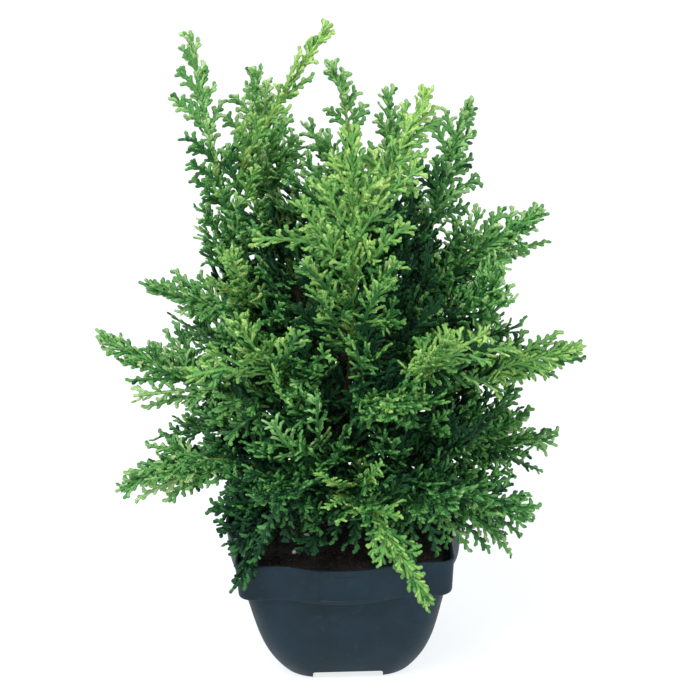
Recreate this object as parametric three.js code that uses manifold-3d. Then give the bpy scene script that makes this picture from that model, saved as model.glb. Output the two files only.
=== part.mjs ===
// Dwarf hinoki cypress growing in a square nursery pot with a bulged collar.
// Millimetres, +Z up, front of the plant towards -Y. The origin is the middle of the pot's flat underside.
// The trunk forks into leaders and side boughs, and each bough ends where it enters its own spray of foliage.

import * as THREE from 'three';
import { mergeVertices } from 'three/addons/utils/BufferGeometryUtils.js';
import Module from 'manifold-3d';

const wasm = await Module();
wasm.setup();

// ---------------------------------------------------------------- driving dimensions

const CLEARANCE = 0.7; // how far a neighbour is swollen before it is cut out of a piece
const SOIL_GAP = 2;
const FOOT_GAP = 0.3; // between the soil and the level cut at the trunk's foot
const WELD = 1e-4;
const HALVINGS = 24;

const POT = {
  height: 84,
  sides: 40,
  wall: 1.8,
  floor: 7,
  footHalf: 38,
  footCorner: 22,
  heelHeight: 42,
  heelHalf: 51.6,
  heelCorner: 18,
  heelPower: 1.8,
  heelSteps: 4,
  bodyHalf: 56,
  bodyCorner: 12,
  collarFoot: 62.5,
  collarFootHalf: 58.8,
  collarFootBulge: 66,
  collarHalf: 60,
  collarBulge: 68,
  collarCorner: 12,
  ledgeHeight: 75,
  ledgeBulge: 60,
  slotWidth: 40,
  slotHeight: 5.3,
  slotDepth: 15,
};

const SOIL = { edgeHeight: 78.5, crownHeight: 80, crownRadius: 22 };

const TRUNK = {
  sides: 8,
  steps: 9,
  radius: 4.6,
  tipRadius: 1.1,
  flare: 3.2,
  flareLength: 0.06,
  path: [[2, 3, SOIL.crownHeight - 3], [-1, 1, 120], [3, 5, 180], [7, 12, 245], [8, 15, 300]],
};

const LIMB = { sides: 6, steps: 4, endGap: 0.8 };

// Each bough: what it grows from, how high up it starts, where it ends, its two radii, how far it arches up.
const BOUGHS = {
  left_leader: { height: 122, end: [-52, 0, 232], radius: [3.2, 1.9], arch: -10 },
  slanted_leader: { from: 'left_leader', height: 218, end: [-17, -15, 340], radius: [1.7, 0.9] },
  front_leader: { height: 128, end: [6, -42, 196], radius: [3, 1.8], arch: -8 },
  right_leader: { height: 132, end: [47, 28, 212], radius: [3, 1.7], arch: -8 },
  back_leader: { height: 160, end: [8, 30, 226], radius: [2.4, 1.4], arch: -6 },
  left_back_leader: { height: 150, end: [-25, 22, 222], radius: [2.4, 1.4], arch: -6 },
  right_upper_bough: { height: 165, end: [38, 6, 208], radius: [2.3, 1.4], arch: -4 },
  right_long_bough: { height: 118, end: [40, -13, 152], radius: [2.6, 1.6] },
  right_front_bough: { height: 124, end: [24, -32, 164], radius: [2.6, 1.6], arch: -4 },
  right_low_bough: { height: 104, end: [40, 8, 118], radius: [2.4, 1.4], arch: 3 },
  right_skirt_bough: { height: 97, end: [34, -20, 106], radius: [2.2, 1.3], arch: 3 },
  front_skirt_bough: { height: 101, end: [4, -36, 122], radius: [2.3, 1.3], arch: 5 },
  left_front_bough: { height: 126, end: [-18, -32, 166], radius: [2.6, 1.6], arch: -4 },
  left_upper_bough: { height: 148, end: [-36, 12, 190], radius: [2.3, 1.4], arch: -4 },
  left_long_bough: { height: 114, end: [-40, -3, 155], radius: [2.6, 1.6], arch: -2 },
  left_low_bough: { height: 102, end: [-42, -6, 115], radius: [2.4, 1.4], arch: 4 },
  left_skirt_bough: { height: 96, end: [-26, -26, 104], radius: [2, 1.2], arch: 3 },
  back_left_bough: { height: 116, end: [-24, 34, 148], radius: [2.6, 1.5], arch: -2 },
  back_right_bough: { height: 120, end: [26, 34, 150], radius: [2.6, 1.5], arch: -2 },
  back_low_bough: { height: 99, end: [0, 38, 111], radius: [2.2, 1.3], arch: 4 },
};

// Each spray of foliage: the bough that it continues, its tip, its full breadth and thickness at the widest,
// its turn about its own line in degrees, and how far it arches up. A spray with a base starts there, on a
// twig of the bough it names.
const SPRAYS = {
  slanted_tip_spray: { from: 'slanted_leader', tip: [1, -15, 369], size: [17, 10] },
  left_tip_spray: { from: 'left_leader', base: [-53, 0, 234], tip: [-73, 0, 365], size: [30, 22], turn: 90 },
  middle_tip_spray: { from: 'trunk', tip: [-2, 15, 346], size: [28, 20], turn: 90, arch: 3 },
  front_top_spray: { from: 'front_leader', base: [20, -50, 258], tip: [49, -20, 338], size: [52, 30], turn: 60 },
  right_tip_spray: { from: 'right_leader', tip: [75, 40, 316], size: [48, 34], turn: 90, arch: 2 },
  right_back_tip_spray: { from: 'back_leader', tip: [29, 40, 324], size: [56, 40], turn: 90, arch: -4 },
  left_back_tip_spray: { from: 'left_back_leader', tip: [-41, 25, 340], size: [82, 44], turn: 90, arch: -1 },
  front_leader_spray: { from: 'front_leader', tip: [3, -58, 306], size: [92, 48], arch: -4 },
  right_long_spray: { from: 'right_long_bough', tip: [135, -15, 183], size: [64, 48], turn: 20, arch: 3 },
  left_long_spray: { from: 'left_long_bough', tip: [-132, -5, 200], size: [72, 58], turn: -25, arch: -10 },
  left_low_spray: { from: 'left_low_bough', tip: [-124, -20, 112], size: [60, 40], turn: -20, arch: 6 },
  right_upper_spray: { from: 'right_upper_bough', tip: [113, 5, 262], size: [78, 58], turn: 25, arch: -6 },
  right_low_spray: { from: 'right_low_bough', tip: [122, 15, 120], size: [78, 56], turn: 20, arch: 3 },
  left_upper_spray: { from: 'left_upper_bough', tip: [-107, 20, 221], size: [72, 44], turn: -20, arch: -4 },
  front_skirt_spray: { from: 'front_skirt_bough', tip: [44, -100, 80], size: [50, 20], arch: 22 },
  right_front_spray: { from: 'right_front_bough', tip: [58, -84, 224], size: [84, 56], turn: 20, arch: -8 },
  left_front_spray: { from: 'left_front_bough', tip: [-52, -84, 236], size: [96, 60], turn: -20, arch: -10 },
  front_bough_spray: { from: 'front_leader', base: [8, -40, 178], tip: [36, -94, 190], size: [88, 60] },
  right_skirt_spray: { from: 'right_skirt_bough', tip: [106, -38, 84], size: [84, 38], turn: 20, arch: 9 },
  left_skirt_spray: { from: 'left_skirt_bough', tip: [-57, -68, 77], size: [50, 24], arch: 8 },
  left_flank_spray: { from: 'left_leader', base: [-44, -10, 202], tip: [-56, -60, 262], size: [62, 44], turn: -40 },
  right_flank_spray: { from: 'right_leader', base: [40, -4, 190], tip: [86, -42, 236], size: [70, 50], turn: 40 },
  front_low_spray: { from: 'front_skirt_bough', base: [-6, -30, 128], tip: [-36, -88, 138], size: [84, 52] },
  front_right_low_spray: { from: 'right_skirt_bough', base: [28, -28, 122], tip: [60, -86, 132], size: [84, 52] },
  back_upper_spray: { from: 'back_leader', base: [4, 30, 204], tip: [-8, 76, 262], size: [84, 56] },
  back_left_spray: { from: 'back_left_bough', tip: [-64, 94, 196], size: [92, 58], turn: 10 },
  back_right_spray: { from: 'back_right_bough', tip: [66, 92, 202], size: [88, 58], turn: -10 },
  back_middle_spray: { from: 'back_left_bough', base: [-2, 40, 146], tip: [2, 112, 168], size: [84, 56] },
  back_low_spray: { from: 'back_low_bough', tip: [-10, 108, 94], size: [80, 34], arch: 10 },
  left_back_low_spray: { from: 'back_low_bough', base: [-28, 24, 120], tip: [-96, 66, 116], size: [80, 46], turn: -10 },
  right_back_low_spray: { from: 'back_low_bough', base: [30, 26, 118], tip: [92, 70, 112], size: [80, 46], turn: 10 },
  right_back_spray: { from: 'right_leader', base: [40, 20, 168], tip: [106, 56, 176], size: [80, 54], turn: 15 },
  left_back_spray: { from: 'left_upper_bough', base: [-38, 24, 168], tip: [-94, 62, 182], size: [80, 54], turn: -15 },
};

// Every spray: how finely it is drawn, its fingers and lumps, how far down its belly sits, how round its edge
// is, and how much of its reach keeps the direction of the bough.
const SPRAY = {
  around: 7,
  along: 7,
  fingers: 2.5,
  fingerDepth: 0.22,
  lump: 0.14,
  bellyPower: 0.58,
  edgePower: 0.9,
  straightShare: 0.4,
};

// ---------------------------------------------------------------- finishes

function finish(colour, roughness) {
  return new THREE.MeshStandardMaterial({ color: colour, roughness, metalness: 0 });
}
const potPlastic = finish('#2c3842', 0.55);
const compost = finish('#221a14', 0.95);
const bark = finish('#6f5a3a', 0.85);
const foliage = finish('#3f8f3a', 0.6);

// ---------------------------------------------------------------- solids

function toSolid(geometry) {
  geometry.deleteAttribute('normal');
  geometry.deleteAttribute('uv');
  const welded = mergeVertices(geometry, WELD);
  const corners = welded.index.array;
  const triangles = [];
  for (let i = 0; i < corners.length; i += 3) {
    const [a, b, c] = corners.slice(i, i + 3);
    const isFlat = a === b || b === c || c === a;
    if (!isFlat) triangles.push(a, b, c);
  }
  const mesh = new wasm.Mesh({
    numProp: 3,
    vertProperties: Float32Array.from(welded.attributes.position.array),
    triVerts: Uint32Array.from(triangles),
  });
  return new wasm.Manifold(mesh);
}

function toMesh(name, solid, material) {
  const { vertProperties, triVerts } = solid.getMesh();
  const geometry = new THREE.BufferGeometry();
  geometry.setAttribute('position', new THREE.BufferAttribute(vertProperties, 3));
  geometry.setIndex(new THREE.BufferAttribute(triVerts, 1));
  geometry.computeVertexNormals();
  const mesh = new THREE.Mesh(geometry, material);
  mesh.name = name;
  return mesh;
}

// The biggest of the bodies that a cut has left.
function largestBody(solid) {
  const bodies = solid.decompose();
  return bodies.reduce((best, body) => (body.volume() > best.volume() ? body : best));
}

// ---------------------------------------------------------------- pot and soil

// Distance from the axis to a square with round corners, or to the circle that bulges past its sides.
function sectionRadius(angle, { half, corner, bulge }) {
  const along = Math.abs(Math.cos(angle));
  const across = Math.abs(Math.sin(angle));
  const flat = half / Math.max(along, across);
  const straight = half - corner;
  if (flat * Math.min(along, across) <= straight) return Math.max(flat, bulge);
  const middle = straight * (along + across);
  const rounded = middle + Math.sqrt(middle ** 2 - 2 * straight ** 2 + corner ** 2);
  return Math.max(rounded, bulge);
}

const level = (z, half, corner, bulge = 0) => ({ z, half, corner, bulge });
const roundLevel = (z, radius) => level(z, radius, radius);

// A lathe whose rings are then pushed out from circles to the sections of their levels.
function sectionStack(levels) {
  const profile = levels.map(({ z, half }) => new THREE.Vector2(half, z));
  const geometry = new THREE.LatheGeometry(profile, POT.sides);
  const position = geometry.attributes.position;
  for (let i = 0; i < position.count; i += 1) {
    const here = levels[i % levels.length];
    const side = Math.floor(i / levels.length) % POT.sides;
    const angle = (2 * Math.PI * side) / POT.sides;
    const radius = here.half === 0 ? 0 : sectionRadius(angle, here);
    position.setXYZ(i, radius * Math.cos(angle), radius * Math.sin(angle), here.z);
  }
  return toSolid(geometry);
}

// The pot's section at a height below the collar: the heel curves outward, and the wall above it is straight.
function wallLevel(z, inset) {
  const curve = 1 - (1 - Math.min(z / POT.heelHeight, 1)) ** POT.heelPower;
  const rise = Math.max(z - POT.heelHeight, 0) / (POT.collarFoot - POT.heelHeight);
  const half = THREE.MathUtils.lerp(POT.footHalf, POT.heelHalf, curve);
  const corner = THREE.MathUtils.lerp(POT.footCorner, POT.heelCorner, curve);
  const { bodyHalf, bodyCorner } = POT;
  const wallHalf = THREE.MathUtils.lerp(half, bodyHalf, rise);
  return level(z, wallHalf - inset, THREE.MathUtils.lerp(corner, bodyCorner, rise) - inset);
}

// The wall from the first step of the heel up to the foot of the collar.
function bodyLevels(inset) {
  const levels = [];
  for (let i = 1; i <= POT.heelSteps; i += 1) {
    levels.push(wallLevel(POT.heelHeight * (i / POT.heelSteps), inset));
  }
  levels.push(wallLevel(POT.collarFoot, inset));
  return levels;
}

// The inside of the pot, from the floor up to the ledge that the bulges of the collar stand on.
function insideLevels() {
  return [
    wallLevel(POT.floor, POT.wall),
    ...bodyLevels(POT.wall).filter(({ z }) => z > POT.floor),
    level(
      POT.ledgeHeight - POT.wall,
      POT.bodyHalf - POT.wall,
      POT.bodyCorner - POT.wall,
      POT.ledgeBulge - POT.wall,
    ),
  ];
}

function potSolid() {
  const collarCorner = POT.collarCorner - POT.wall;
  const levels = [
    roundLevel(0, 0),
    wallLevel(0, 0),
    ...bodyLevels(0),
    level(POT.collarFoot, POT.collarFootHalf, POT.collarCorner, POT.collarFootBulge),
    level(POT.height, POT.collarHalf, POT.collarCorner, POT.collarBulge),
    level(POT.height, POT.collarHalf - POT.wall, collarCorner, POT.collarBulge - POT.wall),
    level(POT.ledgeHeight, POT.collarHalf - POT.wall, collarCorner, POT.collarBulge - POT.wall),
    ...insideLevels().reverse(),
    roundLevel(POT.floor, 0),
  ];
  let pot = sectionStack(levels);
  for (let side = 0; side < 4; side += 1) {
    const slot = new THREE.BoxGeometry(2 * POT.slotDepth, POT.slotWidth, 2 * POT.slotHeight);
    slot.translate(POT.footHalf + POT.slotHeight, 0, 0);
    slot.rotateZ((Math.PI / 2) * side);
    pot = pot.subtract(toSolid(slot));
  }
  return pot;
}

function soilSolid() {
  const inset = POT.wall + SOIL_GAP;
  const half = POT.bodyHalf - inset;
  const corner = POT.bodyCorner - inset;
  return sectionStack([
    roundLevel(POT.floor + SOIL_GAP, 0),
    wallLevel(POT.floor + SOIL_GAP, inset),
    wallLevel(POT.heelHeight / 2, inset),
    wallLevel(POT.heelHeight, inset),
    level(POT.collarFoot, half, corner),
    level(SOIL.edgeHeight, half, corner, POT.ledgeBulge - inset),
    roundLevel(SOIL.crownHeight, SOIL.crownRadius),
    roundLevel(SOIL.crownHeight, 0),
  ]);
}

// ---------------------------------------------------------------- limbs

const point = ([x, y, z]) => new THREE.Vector3(x, y, z);

// The line's direction, a level line across it, and the line square to both, turned by an angle.
function frameOnLine(line, t, across, turn) {
  const forward = line.getTangent(t);
  const flat = across.clone().addScaledVector(forward, -across.dot(forward)).normalize();
  const rise = new THREE.Vector3().crossVectors(forward, flat);
  const side = flat.multiplyScalar(Math.cos(turn)).addScaledVector(rise, Math.sin(turn));
  return { forward, side, face: new THREE.Vector3().crossVectors(forward, side) };
}

// A level direction square to the way from one point to another.
function acrossLine(start, end) {
  const away = new THREE.Vector3().subVectors(end, start);
  return new THREE.Vector3(-away.y, away.x, 0).normalize();
}

// A cylinder bent along the limb's line, its radius worked out at each step. `grow` swells it all round.
function limbSolid(limb, grow = 0) {
  const geometry = new THREE.CylinderGeometry(1, 1, 1, limb.sides, limb.steps);
  const position = geometry.attributes.position;
  for (let i = 0; i < position.count; i += 1) {
    const t = position.getY(i) + 0.5;
    const { forward, side, face } = frameOnLine(limb.line, t, limb.across, 0);
    const radius = limb.radiusAt(t) + grow;
    const place = limb.line.getPoint(t);
    place.addScaledVector(side, position.getX(i) * radius);
    place.addScaledVector(face, -position.getZ(i) * radius);
    if (t === 0) place.addScaledVector(forward, -grow);
    if (t === 1) place.addScaledVector(forward, grow);
    position.setXYZ(i, place.x, place.y, place.z);
  }
  return toSolid(geometry);
}

function trunkLimb() {
  const line = new THREE.CatmullRomCurve3(TRUNK.path.map(point));
  const radiusAt = (t) => {
    const taper = THREE.MathUtils.lerp(TRUNK.radius, TRUNK.tipRadius, t);
    return taper + TRUNK.flare * Math.exp(-t / TRUNK.flareLength);
  };
  const { sides, steps } = TRUNK;
  return { name: 'trunk', line, radiusAt, across: new THREE.Vector3(1, 0, 0), sides, steps };
}

// The point of a limb's line at a given height, found by halving.
function pointAtHeight(limb, height) {
  let low = 0;
  let high = 1;
  for (let i = 0; i < HALVINGS; i += 1) {
    const middle = (low + high) / 2;
    if (limb.line.getPoint(middle).z < height) low = middle;
    else high = middle;
  }
  return limb.line.getPoint(low);
}

function boughLimb(name, bough, limbs) {
  const start = pointAtHeight(limbs.get(bough.from ?? 'trunk'), bough.height);
  const end = point(bough.end);
  const elbow = start.clone().lerp(end, 0.5);
  elbow.z += 2 * (bough.arch ?? 0);
  const line = new THREE.QuadraticBezierCurve3(start, elbow, end);
  const [rootRadius, endRadius] = bough.radius;
  const radiusAt = (t) => THREE.MathUtils.lerp(rootRadius, endRadius, t);
  const { sides, steps } = LIMB;
  return { name, line, radiusAt, across: acrossLine(start, end), sides, steps };
}

// ---------------------------------------------------------------- sprays of foliage

// The middle line of a spray leaves its bough along the bough's own direction and bends to the tip.
function sprayLine(spray, limbs) {
  const limb = limbs.get(spray.from);
  const way = limb.line.getTangent(1);
  const start = spray.base ? point(spray.base) : limb.line.getPoint(1).addScaledVector(way, LIMB.endGap);
  const tip = point(spray.tip);
  const straight = start.distanceTo(tip) * SPRAY.straightShare;
  const knee = spray.base ? start.clone().lerp(tip, 0.5) : start.clone().addScaledVector(way, straight);
  knee.z += 2 * (spray.arch ?? 0);
  return new THREE.QuadraticBezierCurve3(start, knee, tip);
}

// A sphere drawn out along the spray's line: broad past the base, pointed at the tip, thinner than it is
// wide, with fingers that take turns along its two edges and a lump or two on its faces.
function spraySolid(spray, order, limbs, grow = 0) {
  const line = sprayLine(spray, limbs);
  const across = acrossLine(line.v0, line.v2);
  const turn = THREE.MathUtils.degToRad(spray.turn ?? 0);
  const [breadth, thickness] = spray.size;
  const geometry = new THREE.SphereGeometry(1, SPRAY.around, SPRAY.along);
  const position = geometry.attributes.position;
  for (let i = 0; i < position.count; i += 1) {
    const along = THREE.MathUtils.clamp(position.getY(i), -1, 1);
    const t = Math.acos(along) / Math.PI;
    const ring = Math.sqrt(Math.max(1 - along ** 2, 0));
    const isPole = ring < WELD;
    const cosine = isPole ? 0 : position.getX(i) / ring;
    const sine = isPole ? 0 : position.getZ(i) / ring;
    const fullness = Math.sin(Math.PI * t ** SPRAY.bellyPower) ** SPRAY.edgePower;
    const phase = 2 * Math.PI * SPRAY.fingers * t + order;
    const finger = 1 + SPRAY.fingerDepth * Math.sin(phase) * cosine;
    const lump = 1 + SPRAY.lump * Math.sin(2 * phase + 3 * sine);
    const { forward, side, face } = frameOnLine(line, t, across, turn);
    const place = line.getPoint(t);
    place.addScaledVector(side, cosine * (0.5 * breadth * fullness * finger + grow));
    place.addScaledVector(face, sine * (0.5 * thickness * fullness * lump + grow));
    place.addScaledVector(forward, -along * grow);
    position.setXYZ(i, place.x, place.y, place.z);
  }
  return toSolid(geometry);
}

// ---------------------------------------------------------------- assembly

const plant = new THREE.Group();
plant.add(toMesh('pot', potSolid(), potPlastic));
plant.add(toMesh('soil', soilSolid(), compost));

const limbs = new Map();
const trunk = trunkLimb();
limbs.set(trunk.name, trunk);
const cutTrunk = limbSolid(trunk).trimByPlane([0, 0, 1], SOIL.crownHeight + FOOT_GAP);
plant.add(toMesh(trunk.name, cutTrunk, bark));

// Everything already placed, swollen, to be cut out of what comes next.
const swollen = [limbSolid(trunk, CLEARANCE)];
const cutRound = (solid) => largestBody(swollen.reduce((rest, taken) => rest.subtract(taken), solid));

for (const [name, bough] of Object.entries(BOUGHS)) {
  const limb = boughLimb(name, bough, limbs);
  limbs.set(limb.name, limb);
  plant.add(toMesh(limb.name, cutRound(limbSolid(limb)), bark));
  swollen.push(limbSolid(limb, CLEARANCE));
}

// The whole pot, filled up to just over its rim, so that nothing hangs into it.
swollen.push(sectionStack([
  roundLevel(0, 0),
  roundLevel(0, POT.collarHalf),
  level(POT.height + CLEARANCE, POT.collarHalf + CLEARANCE, POT.collarCorner, POT.collarBulge + CLEARANCE),
  roundLevel(POT.height + CLEARANCE, 0),
]));

Object.entries(SPRAYS).forEach(([name, spray], order) => {
  plant.add(toMesh(name, cutRound(spraySolid(spray, order, limbs)), foliage));
  swollen.push(spraySolid(spray, order, limbs, CLEARANCE));
});

export default plant;
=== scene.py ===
# %% [markdown]
# # A dwarf hinoki cypress in its nursery pot
# The plant is about 29 cm tall over its compost: a short hidden trunk, several thin leaders, and flat fans
# of scale-leaved shoots all round. It stands in a dark square pot whose collar bulges out on each side. The
# fixed frame is loaded first. It gives the places of the solids, and every piece made here is built round
# them, in metres, with +Z up and the plant's front towards -Y.

# %% Load the fixed frame
import math
from collections import namedtuple

import bpy
import numpy as np
from mathutils import Matrix, Vector


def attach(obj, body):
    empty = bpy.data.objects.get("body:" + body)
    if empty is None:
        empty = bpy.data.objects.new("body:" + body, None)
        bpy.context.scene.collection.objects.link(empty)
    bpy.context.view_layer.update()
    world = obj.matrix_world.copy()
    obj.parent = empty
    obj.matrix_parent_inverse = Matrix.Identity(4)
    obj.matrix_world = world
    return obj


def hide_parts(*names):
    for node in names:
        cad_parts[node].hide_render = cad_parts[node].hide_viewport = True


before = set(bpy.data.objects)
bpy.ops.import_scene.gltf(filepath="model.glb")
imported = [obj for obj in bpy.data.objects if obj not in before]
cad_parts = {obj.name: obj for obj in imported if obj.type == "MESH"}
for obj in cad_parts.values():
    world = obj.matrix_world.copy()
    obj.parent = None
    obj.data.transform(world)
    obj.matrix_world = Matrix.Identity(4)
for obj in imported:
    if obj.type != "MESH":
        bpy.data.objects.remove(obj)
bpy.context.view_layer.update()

MM = 0.001

# %% [markdown]
# ## Small helpers
# Colours are written as sRGB hex, as on a paint card, but shaders count in linear light, so one function
# converts them. Two more add a node and fill its inputs in one line, which keeps a material's recipe
# readable. Another turns arrays of corners and faces into a mesh: arrays are by far the quickest way to
# make tens of thousands of small shapes. What goes round an axis is built of rings, and the last two make
# those.

# %% Colour, node and mesh helpers
def linear(hex_colour):
    """An sRGB hex colour as the linear numbers that a shader socket takes."""
    parts = [int(hex_colour[i:i + 2], 16) / 255 for i in (1, 3, 5)]
    return tuple(p / 12.92 if p <= 0.04045 else ((p + 0.055) / 1.055) ** 2.4 for p in parts) + (1.0,)


def fill(tree, node, **inputs):
    """Fills or links a node's inputs, by name with _ for a space or by number as i0, i1 and so on."""
    for key, value in inputs.items():
        by_number = key[0] == "i" and key[1:].isdigit()
        socket = node.inputs[int(key[1:]) if by_number else key.replace("_", " ")]
        if isinstance(value, bpy.types.NodeSocket):
            tree.links.new(value, socket)
        else:
            socket.default_value = value


def add_node(tree, kind, settings=None, **inputs):
    """Adds a node, sets its properties and fills its inputs."""
    node = tree.nodes.new(kind)
    for key, value in (settings or {}).items():
        setattr(node, key, value)
    fill(tree, node, **inputs)
    return node


def new_material(name):
    """A new material with its node tree and the shader in it."""
    material = bpy.data.materials.new(name)
    material.use_nodes = True
    return material, material.node_tree, material.node_tree.nodes["Principled BSDF"]


def link_object(name, data):
    """A new object for some data, linked to the scene."""
    made = bpy.data.objects.new(name, data)
    bpy.context.scene.collection.objects.link(made)
    return made


def new_mesh(name, corners, faces, materials, face_materials=None, smooth=True):
    """A mesh object from arrays. corners are in mm, and faces is a list of arrays with 3 or 4 columns."""
    mesh = bpy.data.meshes.new(name)
    loops = np.concatenate([f.ravel() for f in faces])
    sizes = np.concatenate([np.full(len(f), f.shape[1]) for f in faces])
    starts = np.concatenate([[0], np.cumsum(sizes)[:-1]])
    mesh.vertices.add(len(corners))
    mesh.vertices.foreach_set("co", (np.asarray(corners, float) * MM).astype(np.float32).ravel())
    mesh.loops.add(len(loops))
    mesh.loops.foreach_set("vertex_index", loops.astype(np.int32))
    mesh.polygons.add(len(sizes))
    mesh.polygons.foreach_set("loop_start", starts.astype(np.int32))
    for material in materials:
        mesh.materials.append(material)
    if face_materials is not None:
        mesh.polygons.foreach_set("material_index", np.asarray(face_materials, np.int32))
    mesh.polygons.foreach_set("use_smooth", np.full(len(sizes), smooth))
    mesh.update(calc_edges=True)
    mesh.validate()
    return link_object(name, mesh)


def count_triangles(piece):
    """How many triangles a piece is."""
    return sum(len(p.vertices) - 2 for p in piece.data.polygons)


def ring_corners(radius, turns, height):
    """One ring of corners: a radius for each angle, and a height, as a number or a function of x and y."""
    x, y = radius * np.cos(turns), radius * np.sin(turns)
    return np.stack([x, y, height(x, y) if callable(height) else np.full(len(turns), height)], 1)


def ring_faces(rings, columns):
    """Quads between rings of corners, and triangles to the two middle corners that come after the rings."""
    grid = np.arange(rings * columns).reshape(rings, columns)
    turned = np.roll(grid, -1, 1)
    quads = np.stack([grid[:-1], grid[1:], turned[1:], turned[:-1]], -1).reshape(-1, 4)
    first, last = np.full(columns, rings * columns), np.full(columns, rings * columns + 1)
    caps = np.vstack([np.stack([first, grid[0], turned[0]], 1), np.stack([last, turned[-1], grid[-1]], 1)])
    return quads, caps


print("mid green as linear light:", [round(v, 3) for v in linear("#4f9a44")])

# %% [markdown]
# ## Camera
# The camera comes before the plant, because the outer twigs are placed by where their tips should be seen
# from it. A point of a view is only a direction: how far back it lies has to be given too, and then a place
# follows.

# %% Camera, and the way between places and points of its view
VIEW_SIZE = 700
CAMERA_PLACE, CAMERA_AIM = Vector((0.006, -0.8457, 0.5078)), Vector((0.006, 0.0, 0.1856))
CAMERA_ROLL, CAMERA_LENS, SENSOR_WIDTH = math.radians(-1.5), 84.07, 36.0
camera = link_object("camera", bpy.data.cameras.new("camera"))
camera.data.sensor_width = SENSOR_WIDTH
camera.data.lens = CAMERA_LENS
look = (CAMERA_AIM - CAMERA_PLACE).to_track_quat("-Z", "Y").to_matrix().to_4x4()
look = look @ Matrix.Rotation(CAMERA_ROLL, 4, "Z")
camera.matrix_world = Matrix.Translation(CAMERA_PLACE) @ look
bpy.context.scene.camera = camera
bpy.context.scene.view_settings.view_transform = "Standard"
VIEW_TURN, VIEW_PLACE = np.array(look.to_3x3()), np.array(CAMERA_PLACE) / MM
VIEW_REACH = VIEW_SIZE * camera.data.lens / camera.data.sensor_width
COMPOST_TOP = np.array([0.0, 0.0, 80.0])


def seen_at(places):
    """Where places in mm are seen: pixels across and down in the camera's view."""
    local = (places - VIEW_PLACE) @ VIEW_TURN
    return VIEW_SIZE / 2 + VIEW_REACH * local[..., :2] * [-1, 1] / local[..., 2:]


def place_seen(across, down, depth):
    """The place in mm that is seen at a pixel of the view and lies at a depth (its Y)."""
    ray = VIEW_TURN @ [across - VIEW_SIZE / 2, VIEW_SIZE / 2 - down, -VIEW_REACH]
    return VIEW_PLACE + ray * (depth - VIEW_PLACE[1]) / ray[1]


print("the middle of the compost is seen at", seen_at(COMPOST_TOP).round(1))

# %% [markdown]
# ## Finish of the pot
# The pot is injection-moulded polypropylene, coloured dark blue-grey. The mould leaves a satin skin: no
# grain, but a very fine orange-peel, slightly uneven gloss, and faint dull smears where hands and compost
# have rubbed. A dielectric with a broad highlight gives that; two noises, one fine for the bump and one
# wide for the gloss and for a little dust, keep it from looking like paint. Real orange-peel is finer than
# a view can show, so it is drawn two thirds of a millimetre wide. Sizes of patterns are in mm: a noise's
# scale is one over its size.

# %% Moulded polypropylene
POT_SHADE_SIZE, POT_SMEAR_SIZE, POT_PEEL_SIZE, POT_PEEL_DEPTH = 26.3, 6.25, 0.667, 0.2
POT_SHADES = (0.32, "#0f212b"), (0.72, "#162c38")
POT_DUST_COLOUR, POT_DUST_STARTS, POT_DUST_ENDS = "#223a46", 0.56, 0.86


def moulded_polypropylene():
    material, tree, shader = new_material("moulded_polypropylene")
    place = add_node(tree, "ShaderNodeTexCoord").outputs["Object"]
    wide = add_node(tree, "ShaderNodeTexNoise", Vector=place, Scale=1 / (POT_SHADE_SIZE * MM), Detail=4.0,
                    Roughness=0.6)
    smear = add_node(tree, "ShaderNodeTexNoise", Vector=place, Scale=1 / (POT_SMEAR_SIZE * MM), Detail=5.0,
                     Roughness=0.65)
    peel = add_node(tree, "ShaderNodeTexNoise", Vector=place, Scale=1 / (POT_PEEL_SIZE * MM), Detail=3.0)
    colour = add_node(tree, "ShaderNodeValToRGB", Fac=wide.outputs["Fac"])
    for stop, (position, shade) in zip(colour.color_ramp.elements, POT_SHADES):
        stop.position, stop.color = position, linear(shade)
    dust = add_node(tree, "ShaderNodeValToRGB", Fac=smear.outputs["Fac"])
    for stop, position in zip(dust.color_ramp.elements, (POT_DUST_STARTS, POT_DUST_ENDS)):
        stop.position = position
    dusty = add_node(tree, "ShaderNodeMix", {"data_type": "RGBA"}, Factor=dust.outputs["Color"],
                     i6=colour.outputs["Color"], i7=linear(POT_DUST_COLOUR))
    gloss = add_node(tree, "ShaderNodeMapRange", Value=smear.outputs["Fac"], From_Min=0.3, From_Max=0.7,
                     To_Min=0.46, To_Max=0.62)
    bump = add_node(tree, "ShaderNodeBump", Height=peel.outputs["Fac"], Strength=0.12,
                    Distance=POT_PEEL_DEPTH * MM)
    fill(tree, shader, Base_Color=dusty.outputs[2], Roughness=gloss.outputs["Result"],
         Normal=bump.outputs["Normal"], IOR=1.49, Specular_IOR_Level=0.2)
    return material


POT_PLASTIC = moulded_polypropylene()
print("pot finish:", POT_PLASTIC.name, "with", len(POT_PLASTIC.node_tree.nodes), "nodes")

# %% [markdown]
# ## The pot
# The pot is a square with rounded corners all the way up, narrow and very round at the foot, with a heel
# that curves out to nearly upright sides, and a collar that bulges past the square on each side. A lathe
# can't make that. So its wall is drawn as a stack of level sections, one for each step of the profile, and
# each section is a square with rounded corners joined to the circle that bulges past its sides. Small
# quarter-circle steps round the lip, the foot of the collar and the edge that it stands on.

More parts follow.
